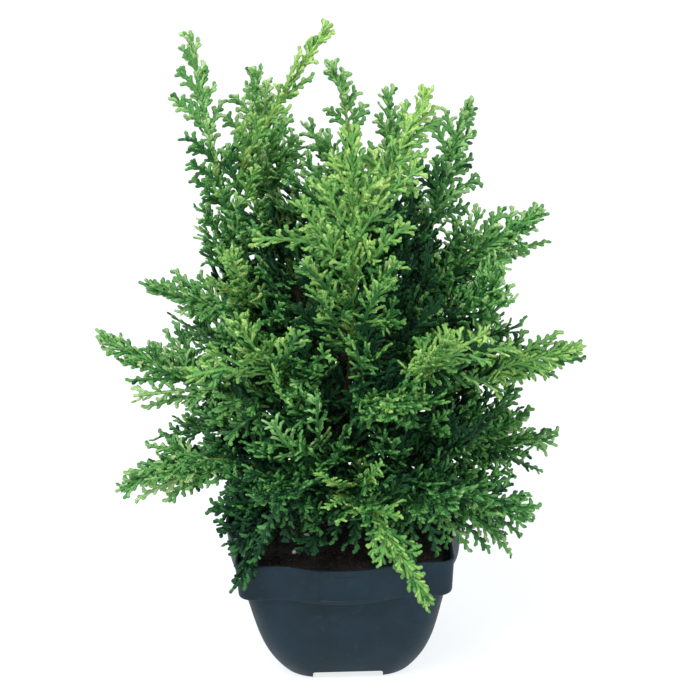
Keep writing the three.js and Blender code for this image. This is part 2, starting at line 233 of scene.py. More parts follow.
# %% Sizes of the pot, in mm
POT_HEIGHT, WALL, FLOOR_TOP, FOOT_HOLLOW = 84.0, 1.8, 7.0, 0.6
FOOT_HALF, FOOT_CORNER = 38.0, 22.0
SIDE_TAPER, HEEL_HEIGHT, HEEL_POWER = 0.18, 45.0, 3.0
BODY_HALF, BODY_CORNER = 56.0, 12.0
COLLAR_FOOT, COLLAR_CORNER = 62.5, 7.5
COLLAR_FOOT_HALF, COLLAR_FOOT_BULGE = 58.8, 66.0
COLLAR_HALF, COLLAR_BULGE = 60.0, 68.0
LEDGE_HEIGHT, LEDGE_BULGE = 75.0, 60.0
SLOT_WIDTH, SLOT_HEIGHT, SLOT_START = 40.0, 5.3, 28.3
SLOT_ROUND, SLOT_END = 1.5, 58.0
LIP_ROUND, COLLAR_ROUND = WALL / 2, 1.0
PANEL = {"half_width": 14.6, "low": 64.5, "high": 81.0, "depth": 0.6, "edge": 0.7}
HEEL_LEVELS, INNER_LEVELS, LEVEL_CROWDING = 24, 14, 1.25
COLLAR_LEVELS, COLLAR_TOP, INNER_COLLAR_TOP = (68.0, 72.0, 76.0), 82.2, 80.0
POT_COLUMNS = 240


def section(angle, half, corner, bulge=0.0):
    """Distance from the axis to the section's outline, for an array of angles."""
    along, across = np.abs(np.cos(angle)), np.abs(np.sin(angle))
    big, small = np.maximum(along, across), np.minimum(along, across)
    flat = half / big
    straight = half - corner
    middle = straight * (along + across)
    rounded = middle + np.sqrt(np.maximum(middle ** 2 - 2 * straight ** 2 + corner ** 2, 0))
    square = np.where(flat * small <= straight, flat, rounded)
    return np.maximum(square, bulge)


def soft_section(angle, half, corner, bulge=0.0, blend=3.0):
    """The same, with the meeting of bulge and square softened, as a mould maker's fillet would."""
    square = section(angle, half, corner)
    if bulge <= 0:
        return square
    gap = np.abs(square - bulge)
    lift = np.maximum(blend - gap, 0) ** 2 / (4 * blend)
    return np.maximum(square, bulge) + lift


panel_edges = [side * math.asin((PANEL["half_width"] - out) / COLLAR_BULGE) - math.pi / 2
               for side in (-1, 1) for out in (0.0, PANEL["edge"])]
even_angles = 2 * np.pi * np.arange(POT_COLUMNS) / POT_COLUMNS
pot_angles = np.sort(np.concatenate([even_angles, np.array(panel_edges) % (2 * np.pi)]))
print("collar across flats", 2 * section(np.array([math.pi / 2]), COLLAR_HALF, COLLAR_CORNER)[0], "mm")

# %% Levels of the pot's wall
def wall_section(z, inset=0.0):
    """Half width, corner radius and bulge of the tapering wall at a height, moved in by inset."""
    below = COLLAR_FOOT - z
    curl = max(1 - z / HEEL_HEIGHT, 0) ** HEEL_POWER
    half = BODY_HALF - SIDE_TAPER * below - (BODY_HALF - SIDE_TAPER * COLLAR_FOOT - FOOT_HALF) * curl
    corner = BODY_CORNER + (FOOT_CORNER - BODY_CORNER) * below / COLLAR_FOOT
    return half - inset, corner - inset, 0.0


def wall_heights(steps):
    """Heights up the wall, closer together near the foot, where it curves most."""
    return [COLLAR_FOOT * (i / steps) ** LEVEL_CROWDING for i in range(1, steps + 1)]


def pot_levels():
    """Height, half width, corner radius and bulge of each level, up the outside and down the inside."""
    rows = [(0.0, *wall_section(0, 1.2)), (0.25, *wall_section(0, 0.3)), (0.9, *wall_section(0.9))]
    rows += [(z, *wall_section(z)) for z in wall_heights(HEEL_LEVELS) if z > 1.5]
    z, half, corner, _ = rows.pop()
    rows.append((z - 0.3, half, corner, 0.0))
    for out in (0.35, 0.75):
        rows.append((z + 0.05 * out, half + (COLLAR_FOOT_HALF - half) * out,
                     corner, COLLAR_FOOT_BULGE * out + (half + 2) * (1 - out)))
    for turn in (0.0, 30.0, 60.0, 90.0):
        a = math.radians(turn)
        up, back = COLLAR_ROUND * (1 - math.cos(a)), COLLAR_ROUND * (1 - math.sin(a))
        rows.append((COLLAR_FOOT + up, COLLAR_FOOT_HALF - back, COLLAR_CORNER, COLLAR_FOOT_BULGE - back))
    low, high, edge = PANEL["low"], PANEL["high"], PANEL["edge"]
    for z in (low, low + edge, *COLLAR_LEVELS, high - edge, high, COLLAR_TOP):
        share = (z - COLLAR_FOOT) / (POT_HEIGHT - COLLAR_FOOT)
        rows.append((z, COLLAR_FOOT_HALF + (COLLAR_HALF - COLLAR_FOOT_HALF) * share, COLLAR_CORNER,
                     COLLAR_FOOT_BULGE + (COLLAR_BULGE - COLLAR_FOOT_BULGE) * share))
    for turn in range(0, 181, 30):
        a = math.radians(turn)
        out = -LIP_ROUND * (1 - math.cos(a))
        rows.append((POT_HEIGHT - LIP_ROUND * (1 - math.sin(a)), COLLAR_HALF + out, COLLAR_CORNER + out,
                     COLLAR_BULGE + out))
    inner = COLLAR_HALF - WALL, COLLAR_CORNER - WALL, COLLAR_BULGE - WALL
    rows.append((INNER_COLLAR_TOP, *inner))
    rows.append((LEDGE_HEIGHT + 1.0, *inner))
    rows.append((LEDGE_HEIGHT + 0.2, inner[0] - 0.3, inner[1], inner[2] - 0.8))
    ledge = BODY_HALF - WALL, BODY_CORNER - WALL, LEDGE_BULGE - WALL
    rows.append((LEDGE_HEIGHT, inner[0] - 1.2, inner[1], inner[2] - 2.0))
    rows.append((LEDGE_HEIGHT - 0.1, ledge[0] + 0.6, ledge[1], ledge[2] + 1.0))
    rows.append((LEDGE_HEIGHT - 1.0, *ledge))
    inner_heights = [z for z in reversed(wall_heights(INNER_LEVELS)) if FLOOR_TOP + 1 < z < COLLAR_FOOT]
    rows += [(z, *wall_section(z, WALL)) for z in inner_heights]
    rows.append((FLOOR_TOP, *wall_section(FLOOR_TOP, WALL + 0.8)))
    return rows


levels = pot_levels()
print(len(levels), "levels, highest", max(r[0] for r in levels), "mm")

# %% Raise the pot's wall, close its floor and press the panel into its front
def pot_mesh():
    corners = np.array([ring_corners(soft_section(pot_angles, half, corner, bulge), pot_angles, z)
                        for z, half, corner, bulge in levels])
    x, y, z = corners[..., 0], corners[..., 1], corners[..., 2]
    outside = np.arange(len(levels))[:, None] <= np.argmax([row[0] for row in levels])
    on_front = outside & (y < -BODY_HALF) & (z > PANEL["low"] - 0.1) & (z < PANEL["high"] + 0.1)
    edge = np.minimum(PANEL["half_width"] - np.abs(x), np.minimum(z - PANEL["low"], PANEL["high"] - z))
    corners[..., 1] += np.where(on_front, PANEL["depth"] * np.clip(edge / PANEL["edge"], 0, 1), 0)
    points = np.vstack([corners.reshape(-1, 3), [[0, 0, FOOT_HOLLOW]], [[0, 0, FLOOR_TOP]]])
    quads, caps = ring_faces(len(levels), len(pot_angles))
    return points, [quads[:, [0, 3, 2, 1]], caps[:, ::-1]]


points, faces = pot_mesh()
pot = new_mesh("nursery_pot", points, faces, [POT_PLASTIC])
print("nursery_pot:", count_triangles(pot), "triangles")

# %% [markdown]
# Four shallow slots under the foot let water out. They are cut with a Boolean, because a slot's arch
# crosses the levels of the wall at an angle that moving corners could not follow.

# %% Cut the drain slots
def slot_cutter():
    """Four bars with rounded upper edges, crossing under the foot."""
    profile = [(-SLOT_WIDTH / 2, -2.0)]
    for turn in range(0, 91, 30):
        a = math.radians(turn)
        profile.append((-SLOT_WIDTH / 2 + SLOT_ROUND * (1 - math.cos(a)),
                        SLOT_HEIGHT - SLOT_ROUND * (1 - math.sin(a))))
    profile += [(-px, pz) for px, pz in reversed(profile)]
    n = len(profile)
    corners, sides, ends = [], [], []
    for k in range(4):
        c, s = math.cos(0.5 * math.pi * k), math.sin(0.5 * math.pi * k)
        base = len(corners)
        for far in (SLOT_START, SLOT_END):
            corners += [(far * c - px * s, far * s + px * c, pz) for px, pz in profile]
        sides += [(base + n + i, base + n + (i + 1) % n, base + (i + 1) % n, base + i) for i in range(n)]
        ends += [tuple(base + i for i in range(n)), tuple(base + n + i for i in reversed(range(n)))]
    return new_mesh("slot_cutter", np.array(corners), [np.array(sides), np.array(ends)], [])


cutter = slot_cutter()
cut = pot.modifiers.new("slots", "BOOLEAN")
cut.operation, cut.solver, cut.object = "DIFFERENCE", "EXACT", cutter
depsgraph = bpy.context.evaluated_depsgraph_get()
slotted = bpy.data.meshes.new_from_object(pot.evaluated_get(depsgraph))
pot.modifiers.clear()
pot.data = slotted
bpy.data.objects.remove(cutter)
pot.data.set_sharp_from_angle(angle=math.radians(38))
print("nursery_pot with slots:", count_triangles(pot), "triangles,", len(pot.data.materials), "material")

# %% [markdown]
# ## Finish of the compost
# Potting compost here is moist composted bark: nearly black, with reddish-brown and grey crumbs that have
# dried on top, a few straw-coloured fibres, and some white prills of slow-release feed. Wet organic matter
# is very dark and slightly shiny where it is wet, so the roughness is high but broken. One recipe serves
# all four: a noise as wide as the grain wanders between two shades, and one as wide as the grit lifts the
# surface.

# %% Moist bark compost, chips, fibres and prills
def granular(name, dark, light, grain, grit, grit_depth, rough):
    """A rough natural material in two shades. Grain, grit and the grit's depth are in mm."""
    material, tree, shader = new_material(name)
    place = add_node(tree, "ShaderNodeTexCoord").outputs["Object"]
    tone = add_node(tree, "ShaderNodeTexNoise", Vector=place, Scale=1 / (grain * MM), Detail=5.0,
                    Roughness=0.7)
    ramp = add_node(tree, "ShaderNodeValToRGB", Fac=tone.outputs["Fac"])
    for stop, (position, shade) in zip(ramp.color_ramp.elements, ((0.36, dark), (0.68, light))):
        stop.position, stop.color = position, linear(shade)
    relief = add_node(tree, "ShaderNodeTexNoise", Vector=place, Scale=1 / (grit * MM), Detail=6.0,
                      Roughness=0.7)
    bump = add_node(tree, "ShaderNodeBump", Height=relief.outputs["Fac"], Strength=1.0,
                    Distance=grit_depth * MM)
    gloss = add_node(tree, "ShaderNodeMapRange", Value=relief.outputs["Fac"], From_Min=0.3, From_Max=0.7,
                     To_Min=rough - 0.18, To_Max=min(rough + 0.1, 1.0))
    fill(tree, shader, Base_Color=ramp.outputs["Color"], Roughness=gloss.outputs["Result"],
         Normal=bump.outputs["Normal"])
    return material


COMPOST = granular("moist_bark_compost", "#0a0807", "#1c140f", grain=2.38, grit=1.43,
                   grit_depth=0.5, rough=0.82)
CHIP = granular("dry_bark_chip", "#1d110b", "#5a3422", grain=3.33, grit=1.11,
                grit_depth=0.2, rough=0.8)
FIBRE = granular("straw_fibre", "#4a3826", "#7d6a4c", grain=2.86, grit=0.833,
                 grit_depth=0.1, rough=0.75)
PRILL = granular("resin_coated_prill", "#f2f0ea", "#ffffff", grain=2.0, grit=0.667,
                 grit_depth=0.05, rough=0.45)
print("compost finishes:", COMPOST.name, CHIP.name, FIBRE.name, PRILL.name)

# %% [markdown]
# ## The compost
# Its surface is nearly level, a little lower at the edge, and lumpy at the scale of the bark chips. It is a
# disc of rings that follow the pot's section, and a sum of sines with random phases lifts and sinks it. It
# reaches into the pot's wall by a hair, so that no slit shows.

# %% Lumpy surface of the compost
SOIL_EDGE, SOIL_MIDDLE, SOIL_REACH = 78.2, COMPOST_TOP[2], 56
SOIL_SIDE_TOP, SOIL_SIDE_LEVELS = 74.2, 10
WAVE_COUNT, WAVE_LENGTHS = 26, (5, 40)
WAVE_HEIGHT, WAVE_RATE, WAVE_FALL = 0.9, 0.16, 0.55
soil_rng = np.random.default_rng(71)


def random_wave():
    """A wave's direction, phase and rate."""
    way, phase = soil_rng.uniform(0, 2 * math.pi), soil_rng.uniform(0, 2 * math.pi)
    return way, phase, 2 * math.pi / soil_rng.uniform(*WAVE_LENGTHS)


waves = [random_wave() for _ in range(WAVE_COUNT)]


def soil_height(x, y):
    """Height of the compost's surface, in mm."""
    edge = np.minimum(np.hypot(x, y) / SOIL_REACH, 1)
    height = SOIL_MIDDLE + (SOIL_EDGE - SOIL_MIDDLE) * edge ** 2
    for way, phase, rate in waves:
        swell = WAVE_HEIGHT * (WAVE_RATE / rate) ** WAVE_FALL * 0.3
        height = height + swell * np.sin(rate * (x * np.cos(way) + y * np.sin(way)) + phase)
    return height


SOIL_RINGS, SOIL_COLUMNS, SOIL_BITE = 34, 120, 0.25
SOIL_LEDGE = BODY_HALF - WALL, BODY_CORNER - WALL, LEDGE_BULGE - WALL
soil_angles = 2 * np.pi * np.arange(SOIL_COLUMNS) / SOIL_COLUMNS
rim = soft_section(soil_angles, *SOIL_LEDGE) + SOIL_BITE
soil_corners = [ring_corners(rim * i / SOIL_RINGS, soil_angles, soil_height)
                for i in range(1, SOIL_RINGS + 1)]
low_heights = [z for z in reversed(wall_heights(SOIL_SIDE_LEVELS)) if FLOOR_TOP + 2 < z]
soil_sides = [(SOIL_SIDE_TOP, *SOIL_LEDGE)] + [(z, *wall_section(z, WALL + 0.4)) for z in low_heights]
for z, half, corner, bulge in soil_sides:
    soil_corners.append(ring_corners(section(soil_angles, half, corner, bulge), soil_angles, z))
middle_height = soil_height(np.array(0.0), np.array(0.0))
soil_points = np.vstack(soil_corners + [[[0, 0, middle_height]], [[0, 0, low_heights[-1]]]])
soil = new_mesh("compost", soil_points, ring_faces(len(soil_corners), SOIL_COLUMNS), [COMPOST])
print("compost:", count_triangles(soil), "triangles, middle at", round(float(middle_height), 1), "mm")

# %% [markdown]
# ## Crumbs, chips and fibres
# More than a thousand small bits lie on the compost. Geometry Nodes scatter them: points are thrown over
# the surface with a fixed seed, a few-faced bit is put on each point with its own turn and size, and
# Realize Instances makes real mesh of them, because an export keeps no instances.

# %% Few-faced bits to scatter
bit_rng = np.random.default_rng(5)


def lump(name, shape, material):
    """A dented twenty-sided lump of about 1 mm radius, stretched by shape."""
    g = (1 + 5 ** 0.5) / 2
    base = [(-1, g, 0), (1, g, 0), (-1, -g, 0), (1, -g, 0), (0, -1, g), (0, 1, g), (0, -1, -g), (0, 1, -g),
            (g, 0, -1), (g, 0, 1), (-g, 0, -1), (-g, 0, 1)]
    faces = [(0, 11, 5), (0, 5, 1), (0, 1, 7), (0, 7, 10), (0, 10, 11), (1, 5, 9), (5, 11, 4),
             (11, 10, 2), (10, 7, 6), (7, 1, 8), (3, 9, 4), (3, 4, 2), (3, 2, 6), (3, 6, 8),
             (3, 8, 9), (4, 9, 5), (2, 4, 11), (6, 2, 10), (8, 6, 7), (9, 8, 1)]
    corners = np.array(base) / 1.9 * bit_rng.uniform(0.72, 1.2, (12, 1)) * shape
    return new_mesh(name, corners, [np.array(faces)], [material], smooth=False)


crumb = lump("crumb_bit", (1.0, 0.85, 0.7), COMPOST)
chip = lump("chip_bit", (1.7, 0.9, 0.32), CHIP)
fibre = lump("fibre_bit", (4.6, 0.16, 0.14), FIBRE)
print("bits have", [count_triangles(b) for b in (crumb, chip, fibre)], "triangles")

# %% Geometry Nodes tree that scatters a bit over a surface
def new_tree(name, inputs):
    """A Geometry Nodes tree and what is given to it: geometry, the inputs (kind and default), a finish."""
    tree = bpy.data.node_groups.new(name, "GeometryNodeTree")
    tree.interface.new_socket(name="Geometry", in_out="OUTPUT", socket_type="NodeSocketGeometry")
    labelled = {"Geometry": ("Geometry", None), **inputs, "Finish": ("Material", None)}
    for label, (kind, default) in labelled.items():
        socket = tree.interface.new_socket(name=label, in_out="INPUT", socket_type="NodeSocket" + kind)
        if default is not None:
            socket.default_value = default
    return tree, add_node(tree, "NodeGroupInput").outputs


def end_tree(tree, geometry, finish):
    """The end of every tree: instances become real mesh, take their finish, and go out."""
    real = add_node(tree, "GeometryNodeRealizeInstances", Geometry=geometry)
    dressed = add_node(tree, "GeometryNodeSetMaterial", Geometry=real.outputs["Geometry"], Material=finish)
    add_node(tree, "NodeGroupOutput", Geometry=dressed.outputs["Geometry"])
    return tree


def scatter_tree():
    tree, given = new_tree("scatter_bits", {
        "Bit": ("Object", None), "Bits per square metre": ("Float", 60000.0), "Smallest": ("Float", 0.5),
        "Largest": ("Float", 1.4), "Lowest point": ("Float", 0.07), "Seed": ("Int", 1)})
    height = add_node(tree, "GeometryNodeInputPosition")
    apart = add_node(tree, "ShaderNodeSeparateXYZ", Vector=height.outputs["Position"])
    on_top = add_node(tree, "FunctionNodeCompare", {"data_type": "FLOAT", "operation": "GREATER_THAN"},
                      A=apart.outputs["Z"], B=given["Lowest point"])
    spots = add_node(tree, "GeometryNodeDistributePointsOnFaces", {"distribute_method": "RANDOM"},
                     Mesh=given["Geometry"], Selection=on_top.outputs["Result"],
                     Density=given["Bits per square metre"], Seed=given["Seed"])
    shape = add_node(tree, "GeometryNodeObjectInfo", {"transform_space": "ORIGINAL"}, Object=given["Bit"])
    turn = add_node(tree, "FunctionNodeRandomValue", {"data_type": "FLOAT_VECTOR"}, i0=(-0.5, -0.5, 0.0),
                    i1=(0.5, 0.5, 6.283), Seed=given["Seed"])
    size = add_node(tree, "FunctionNodeRandomValue", {"data_type": "FLOAT"}, i2=given["Smallest"],
                    i3=given["Largest"], Seed=given["Seed"])
    placed = add_node(tree, "GeometryNodeInstanceOnPoints", Points=spots.outputs["Points"],
                      Instance=shape.outputs["Geometry"], Rotation=turn.outputs["Value"],
                      Scale=size.outputs[1])
    return end_tree(tree, placed.outputs["Instances"], given["Finish"])


def grown(source, tree, name, **values):
    """A plain mesh made from source by a Geometry Nodes tree. Values are the tree's inputs by name."""
    carrier = link_object(name, source.data.copy())
    modifier = carrier.modifiers.new(name, "NODES")
    modifier.node_group = tree
    for item in tree.interface.items_tree:
        key = item.name.replace(" ", "_")
        if item.item_type == "SOCKET" and item.in_out == "INPUT" and key in values:
            modifier[item.identifier] = values[key]
    depsgraph = bpy.context.evaluated_depsgraph_get()
    mesh = bpy.data.meshes.new_from_object(carrier.evaluated_get(depsgraph))
    bpy.data.objects.remove(carrier)
    mesh.name = name
    return link_object(name, mesh)


SCATTER = scatter_tree()
LOWEST_BIT = 0.0755
crumbs = grown(soil, SCATTER, "compost_crumbs", Bit=crumb, Bits_per_square_metre=90000.0, Smallest=0.5,
               Largest=1.7, Lowest_point=LOWEST_BIT, Seed=11, Finish=COMPOST)
chips = grown(soil, SCATTER, "bark_chips", Bit=chip, Bits_per_square_metre=26000.0, Smallest=0.5,
              Largest=1.5, Lowest_point=LOWEST_BIT, Seed=12, Finish=CHIP)
fibres = grown(soil, SCATTER, "straw_fibres", Bit=fibre, Bits_per_square_metre=6000.0, Smallest=0.4,
               Largest=1.1, Lowest_point=LOWEST_BIT, Seed=13, Finish=FIBRE)
for shape in (crumb, chip, fibre):
    bpy.data.objects.remove(shape)
print("crumbs, chips, fibres:", [count_triangles(p) for p in (crumbs, chips, fibres)], "triangles")

# %% [markdown]
# Prills of feed are few, so each is a small sphere put down one by one on the compost, sunk by a tenth of its
# breadth.

# %% Prills of feed: across, deep and radius, in mm
PRILLS = [(-21.4, -18.4, 1.75), (-27.9, -38.4, 1.2), (28.0, 30.0, 1.5), (-33.0, 22.0, 1.6), (14.0, 47.0, 1.7),
          (40.0, -30.0, 1.5)]
PRILL_RISE, BALL_ROWS, BALL_COLUMNS = 0.8, 8, 12


def ball(radius):
    """Corners of a small sphere: level rings, then its two poles."""
    turns = 2 * np.pi * np.arange(BALL_COLUMNS) / BALL_COLUMNS
    tilts = np.pi * np.arange(1, BALL_ROWS) / BALL_ROWS
    rings = [ring_corners(math.sin(tilt), turns, math.cos(tilt)) for tilt in tilts]
    return np.vstack(rings + [[[0, 0, 1]], [[0, 0, -1]]]) * radius


quads, caps = ring_faces(BALL_ROWS - 1, BALL_COLUMNS)
corners, faces, taken = [], [[], []], 0
for x, y, radius in PRILLS:
    height = float(soil_height(np.array(x), np.array(y))) + PRILL_RISE * radius
    corners.append(ball(radius) + [x, y, height])
    for kept, part in zip(faces, (quads, caps)):
        kept.append(part + taken)
    taken += len(corners[-1])
prills = new_mesh("feed_prills", np.vstack(corners), [np.vstack(part) for part in faces], [PRILL])
print("feed_prills:", count_triangles(prills), "triangles")

# %% [markdown]
# ## Bark and young stems
# The trunk and boughs of a young hinoki are thin, with reddish-brown bark that splits into long narrow
# strips which peel a little. Toward the tips the stem is still olive and smooth. Stretching a noise along
# the stem would need a map of its own, so the strips are real relief in the mesh, and the finish only adds
# fibres. They are drawn about a millimetre wide, coarser than real ones, so that a view can show them.

# %% Stringy bark and olive stem
# These browns are darker and greyer than the bark's own reddish-brown, which paints the shade inside the
# crown.
BARK = granular("stringy_bark", "#1d170f", "#4b3d2b", grain=3.85, grit=1.11,
                grit_depth=0.12, rough=0.85)
STEM = granular("olive_stem", "#5a7028", "#8aa444", grain=5.56, grit=1.11,
                grit_depth=0.05, rough=0.6)
print("stem finishes:", BARK.name, STEM.name)

# %% [markdown]
# ## Lines of the trunk and boughs
# Everything on the plant starts from a few lines: the trunk's leans gently through five points, and each
# bough leaves the trunk at a height, bends once, and ends where its spray of foliage starts. One leader
# bends more than once, so its row holds all its points in place of an end and an arch. They are the same
# lines as the fixed frame's solids, so the leaves grow where the solids say that there is plant.

# %% Named lines, in mm: (parent, height of its root, end, root and end radius, arch)
UP, FRONT = np.array([0.0, 0.0, 1.0]), np.array([0.0, -1.0, 0.0])
SMOOTH_STEPS, BOUGH_POINTS = 24, 25
TRUNK_LINE = [(2, 3, 77), (-1, 1, 120), (3, 5, 180), (7, 12, 245), (8, 15, 300)]
TRUNK_RADIUS, TRUNK_TIP_RADIUS, ROOT_FLARE, ROOT_FLARE_REACH = 4.6, 1.1, 3.2, 0.06
BOUGHS = {
    "left_leader": ("trunk", 122, (-52, 0, 232), (3.2, 1.9), -10),
    "slanted_leader": ("left_leader", 218, [(-50, 0, 286), (-42.5, -4, 303), (-35, -7, 315),
                                            (-27.5, -10.5, 327)], (1.15, 0.8), None),
    "front_leader": ("trunk", 128, (6, -42, 196), (3.0, 1.8), -8),
    "right_leader": ("trunk", 132, (47, 28, 212), (3.0, 1.7), -8),
    "back_leader": ("trunk", 160, (8, 30, 226), (2.4, 1.4), -6),
    "left_back_leader": ("trunk", 150, (-25, 22, 222), (2.4, 1.4), -6),
    "right_upper_bough": ("trunk", 165, (38, 6, 208), (2.3, 1.4), -4),
    "right_long_bough": ("trunk", 118, (40, -13, 152), (2.6, 1.6), 0),
    "right_front_bough": ("trunk", 124, (24, -32, 164), (2.6, 1.6), -4),
    "right_low_bough": ("trunk", 104, (40, 8, 118), (2.4, 1.4), 3),
    "right_skirt_bough": ("trunk", 97, (34, -20, 106), (2.2, 1.3), 3),
    "front_skirt_bough": ("trunk", 101, (4, -36, 122), (2.3, 1.3), 5),
    "left_front_bough": ("trunk", 126, (-18, -32, 166), (2.6, 1.6), -4),
    "left_upper_bough": ("trunk", 148, (-36, 12, 190), (2.3, 1.4), -4),
    "left_long_bough": ("trunk", 114, (-40, -3, 155), (2.6, 1.6), -2),
    "left_low_bough": ("trunk", 102, (-42, -6, 115), (2.4, 1.4), 4),
    "left_skirt_bough": ("trunk", 96, (-26, -26, 104), (2.0, 1.2), 3),
    "back_left_bough": ("trunk", 116, (-24, 34, 148), (2.6, 1.5), -2),
    "back_right_bough": ("trunk", 120, (26, 34, 150), (2.6, 1.5), -2),
    "back_low_bough": ("trunk", 99, (0, 38, 111), (2.2, 1.3), 4),
}


def unit(v):
    v = np.asarray(v, float)
    return v / np.maximum(np.linalg.norm(v, axis=-1, keepdims=True), 1e-9)


def square_to(v, way):
    """The part of v that is square to the unit vector way, made unit length."""
    return unit(v - (v * way).sum(-1, keepdims=True) * way)


def bent(start, knee, end, share):
    """Points of a once-bent line at the given shares of its length."""
    share = np.asarray(share, float)[..., None]
    return start * (1 - share) ** 2 + 2 * knee * share * (1 - share) + end * share ** 2


def bent_way(start, knee, end, share):
    share = np.asarray(share, float)[..., None]
    return unit((knee - start) * (1 - share) + (end - knee) * share)


def smooth_line(points):
    """A line through all points whose bends are spread evenly (centripetal Catmull-Rom)."""
    p = np.array(points, float)
    p = np.vstack([2 * p[0] - p[1], p, 2 * p[-1] - p[-2]])
    line = []
    for before, a, b, after in zip(p[:-3], p[1:-2], p[2:-1], p[3:]):
        d0, d1, d2 = (math.sqrt(np.linalg.norm(v)) for v in (a - before, b - a, after - b))
        out = ((a - before) / d0 - (b - before) / (d0 + d1) + (b - a) / d1) * d1
        into = ((b - a) / d1 - (after - a) / (d1 + d2) + (after - b) / d2) * d1
        second, third = 3 * (b - a) - 2 * out - into, 2 * (a - b) + out + into
        for s in np.arange(SMOOTH_STEPS) / SMOOTH_STEPS:
            line.append(a + out * s + second * s ** 2 + third * s ** 3)
    return np.vstack(line + [p[-2]])


def lengths_along(points):
    """Distance along a line from its start to each of its points."""
    return np.concatenate([[0], np.cumsum(np.linalg.norm(np.diff(points, axis=0), axis=1))])


def points_at(points, measures, at):
    """Places on a line where a measure that grows along it, such as its length, has the given values."""
    return np.stack([np.interp(at, measures, points[:, k]) for k in range(3)], -1)


trunk_points = smooth_line(TRUNK_LINE)
trunk_way = unit(trunk_points[-1] - trunk_points[-2])
trunk_share = np.linspace(0, 1, len(trunk_points))
trunk_radii = TRUNK_RADIUS + (TRUNK_TIP_RADIUS - TRUNK_RADIUS) * trunk_share
trunk_radii += ROOT_FLARE * np.exp(-trunk_share / ROOT_FLARE_REACH)
LIMBS = {"trunk": {"points": trunk_points, "radii": trunk_radii, "way": trunk_way}}
for name, (parent, height, end, (root_radius, end_radius), arch) in BOUGHS.items():
    line = LIMBS[parent]["points"]
    start = points_at(line, line[:, 2], height)
    if isinstance(end, list):
        points = smooth_line([start] + end)
        way = unit(points[-1] - points[-2])
    else:
        end = np.array(end, float)
        elbow = (start + end) / 2 + UP * 2 * arch
        points = bent(start, elbow, end, np.linspace(0, 1, BOUGH_POINTS))
        way = unit(end - elbow)
    radii = root_radius + (end_radius - root_radius) * np.linspace(0, 1, len(points))
    LIMBS[name] = {"points": points, "radii": radii, "way": way}
print(len(LIMBS), "limbs, the longest", round(max(np.linalg.norm(v["points"][-1] - v["points"][0])
                                                  for v in LIMBS.values())), "mm end to end")

# %% [markdown]
# ## Bark
# A stem is a circle swept along a line, its radius following the taper. Geometry Nodes do that: Curve to
# Mesh sweeps a round profile along each line, and the relief of the bark is pushed out along the normal by
# a noise that is short round the stem and long along it, which is what makes strips. The angle round the
# profile and the distance along the line are captured before the sweep, because the swept mesh has
# forgotten them.

# %% Geometry Nodes tree that sweeps a stem with stringy relief
def stem_tree():
    tree, given = new_tree("sweep_stems", {
        "Sides": ("Int", 12), "Strips round": ("Float", 1.6), "Strips along": ("Float", 90.0),
        "Relief": ("Float", 0.0005)})
    lines = add_node(tree, "GeometryNodeMeshToCurve", Mesh=given["Geometry"])
    radius = add_node(tree, "GeometryNodeInputNamedAttribute", {"data_type": "FLOAT"}, Name="stem_radius")
    travelled = add_node(tree, "GeometryNodeSplineParameter")
    kept_length = add_node(tree, "GeometryNodeCaptureAttribute", {"domain": "POINT"})
    kept_length.capture_items.new("FLOAT", "travelled")
    fill(tree, kept_length, Geometry=lines.outputs["Curve"], i1=travelled.outputs["Length"])
    circle = add_node(tree, "GeometryNodeCurvePrimitiveCircle", Resolution=given["Sides"], Radius=1.0)
    round_share = add_node(tree, "GeometryNodeSplineParameter")
    kept_angle = add_node(tree, "GeometryNodeCaptureAttribute", {"domain": "POINT"})
    kept_angle.capture_items.new("FLOAT", "angle")
    fill(tree, kept_angle, Geometry=circle.outputs["Curve"], i1=round_share.outputs["Factor"])
    swept = add_node(tree, "GeometryNodeCurveToMesh", Curve=kept_length.outputs["Geometry"],
                     Profile_Curve=kept_angle.outputs["Geometry"], Scale=radius.outputs["Attribute"],
                     Fill_Caps=True)
    turn = add_node(tree, "ShaderNodeMath", {"operation": "MULTIPLY"}, i0=kept_angle.outputs[1],
                    i1=2 * math.pi)
    across = []
    for operation in ("COSINE", "SINE"):
        wave = add_node(tree, "ShaderNodeMath", {"operation": operation}, i0=turn.outputs["Value"])
        across.append(add_node(tree, "ShaderNodeMath", {"operation": "MULTIPLY"}, i0=wave.outputs["Value"],
                               i1=given["Strips round"]))
    along = add_node(tree, "ShaderNodeMath", {"operation": "MULTIPLY"}, i0=kept_length.outputs[1],
                     i1=given["Strips along"])
    strip_place = add_node(tree, "ShaderNodeCombineXYZ", X=across[0].outputs["Value"],
                           Y=across[1].outputs["Value"], Z=along.outputs["Value"])
    strips = add_node(tree, "ShaderNodeTexNoise", Vector=strip_place.outputs["Vector"], Scale=1.0, Detail=3.0)
    raised = add_node(tree, "ShaderNodeMapRange", Value=strips.outputs["Fac"], From_Min=0.3, From_Max=0.7,
                      To_Min=-0.5, To_Max=0.5)
    push = add_node(tree, "ShaderNodeMath", {"operation": "MULTIPLY"}, i0=raised.outputs["Result"],
                    i1=given["Relief"])
    normal = add_node(tree, "GeometryNodeInputNormal")
    offset = add_node(tree, "ShaderNodeVectorMath", {"operation": "SCALE"}, Vector=normal.outputs["Normal"],
                      Scale=push.outputs["Value"])
    shaped = add_node(tree, "GeometryNodeSetPosition", Geometry=swept.outputs["Mesh"],
                      Offset=offset.outputs["Vector"])
    smooth = add_node(tree, "GeometryNodeSetShadeSmooth", Geometry=shaped.outputs["Geometry"])
    return end_tree(tree, smooth.outputs["Geometry"], given["Finish"])


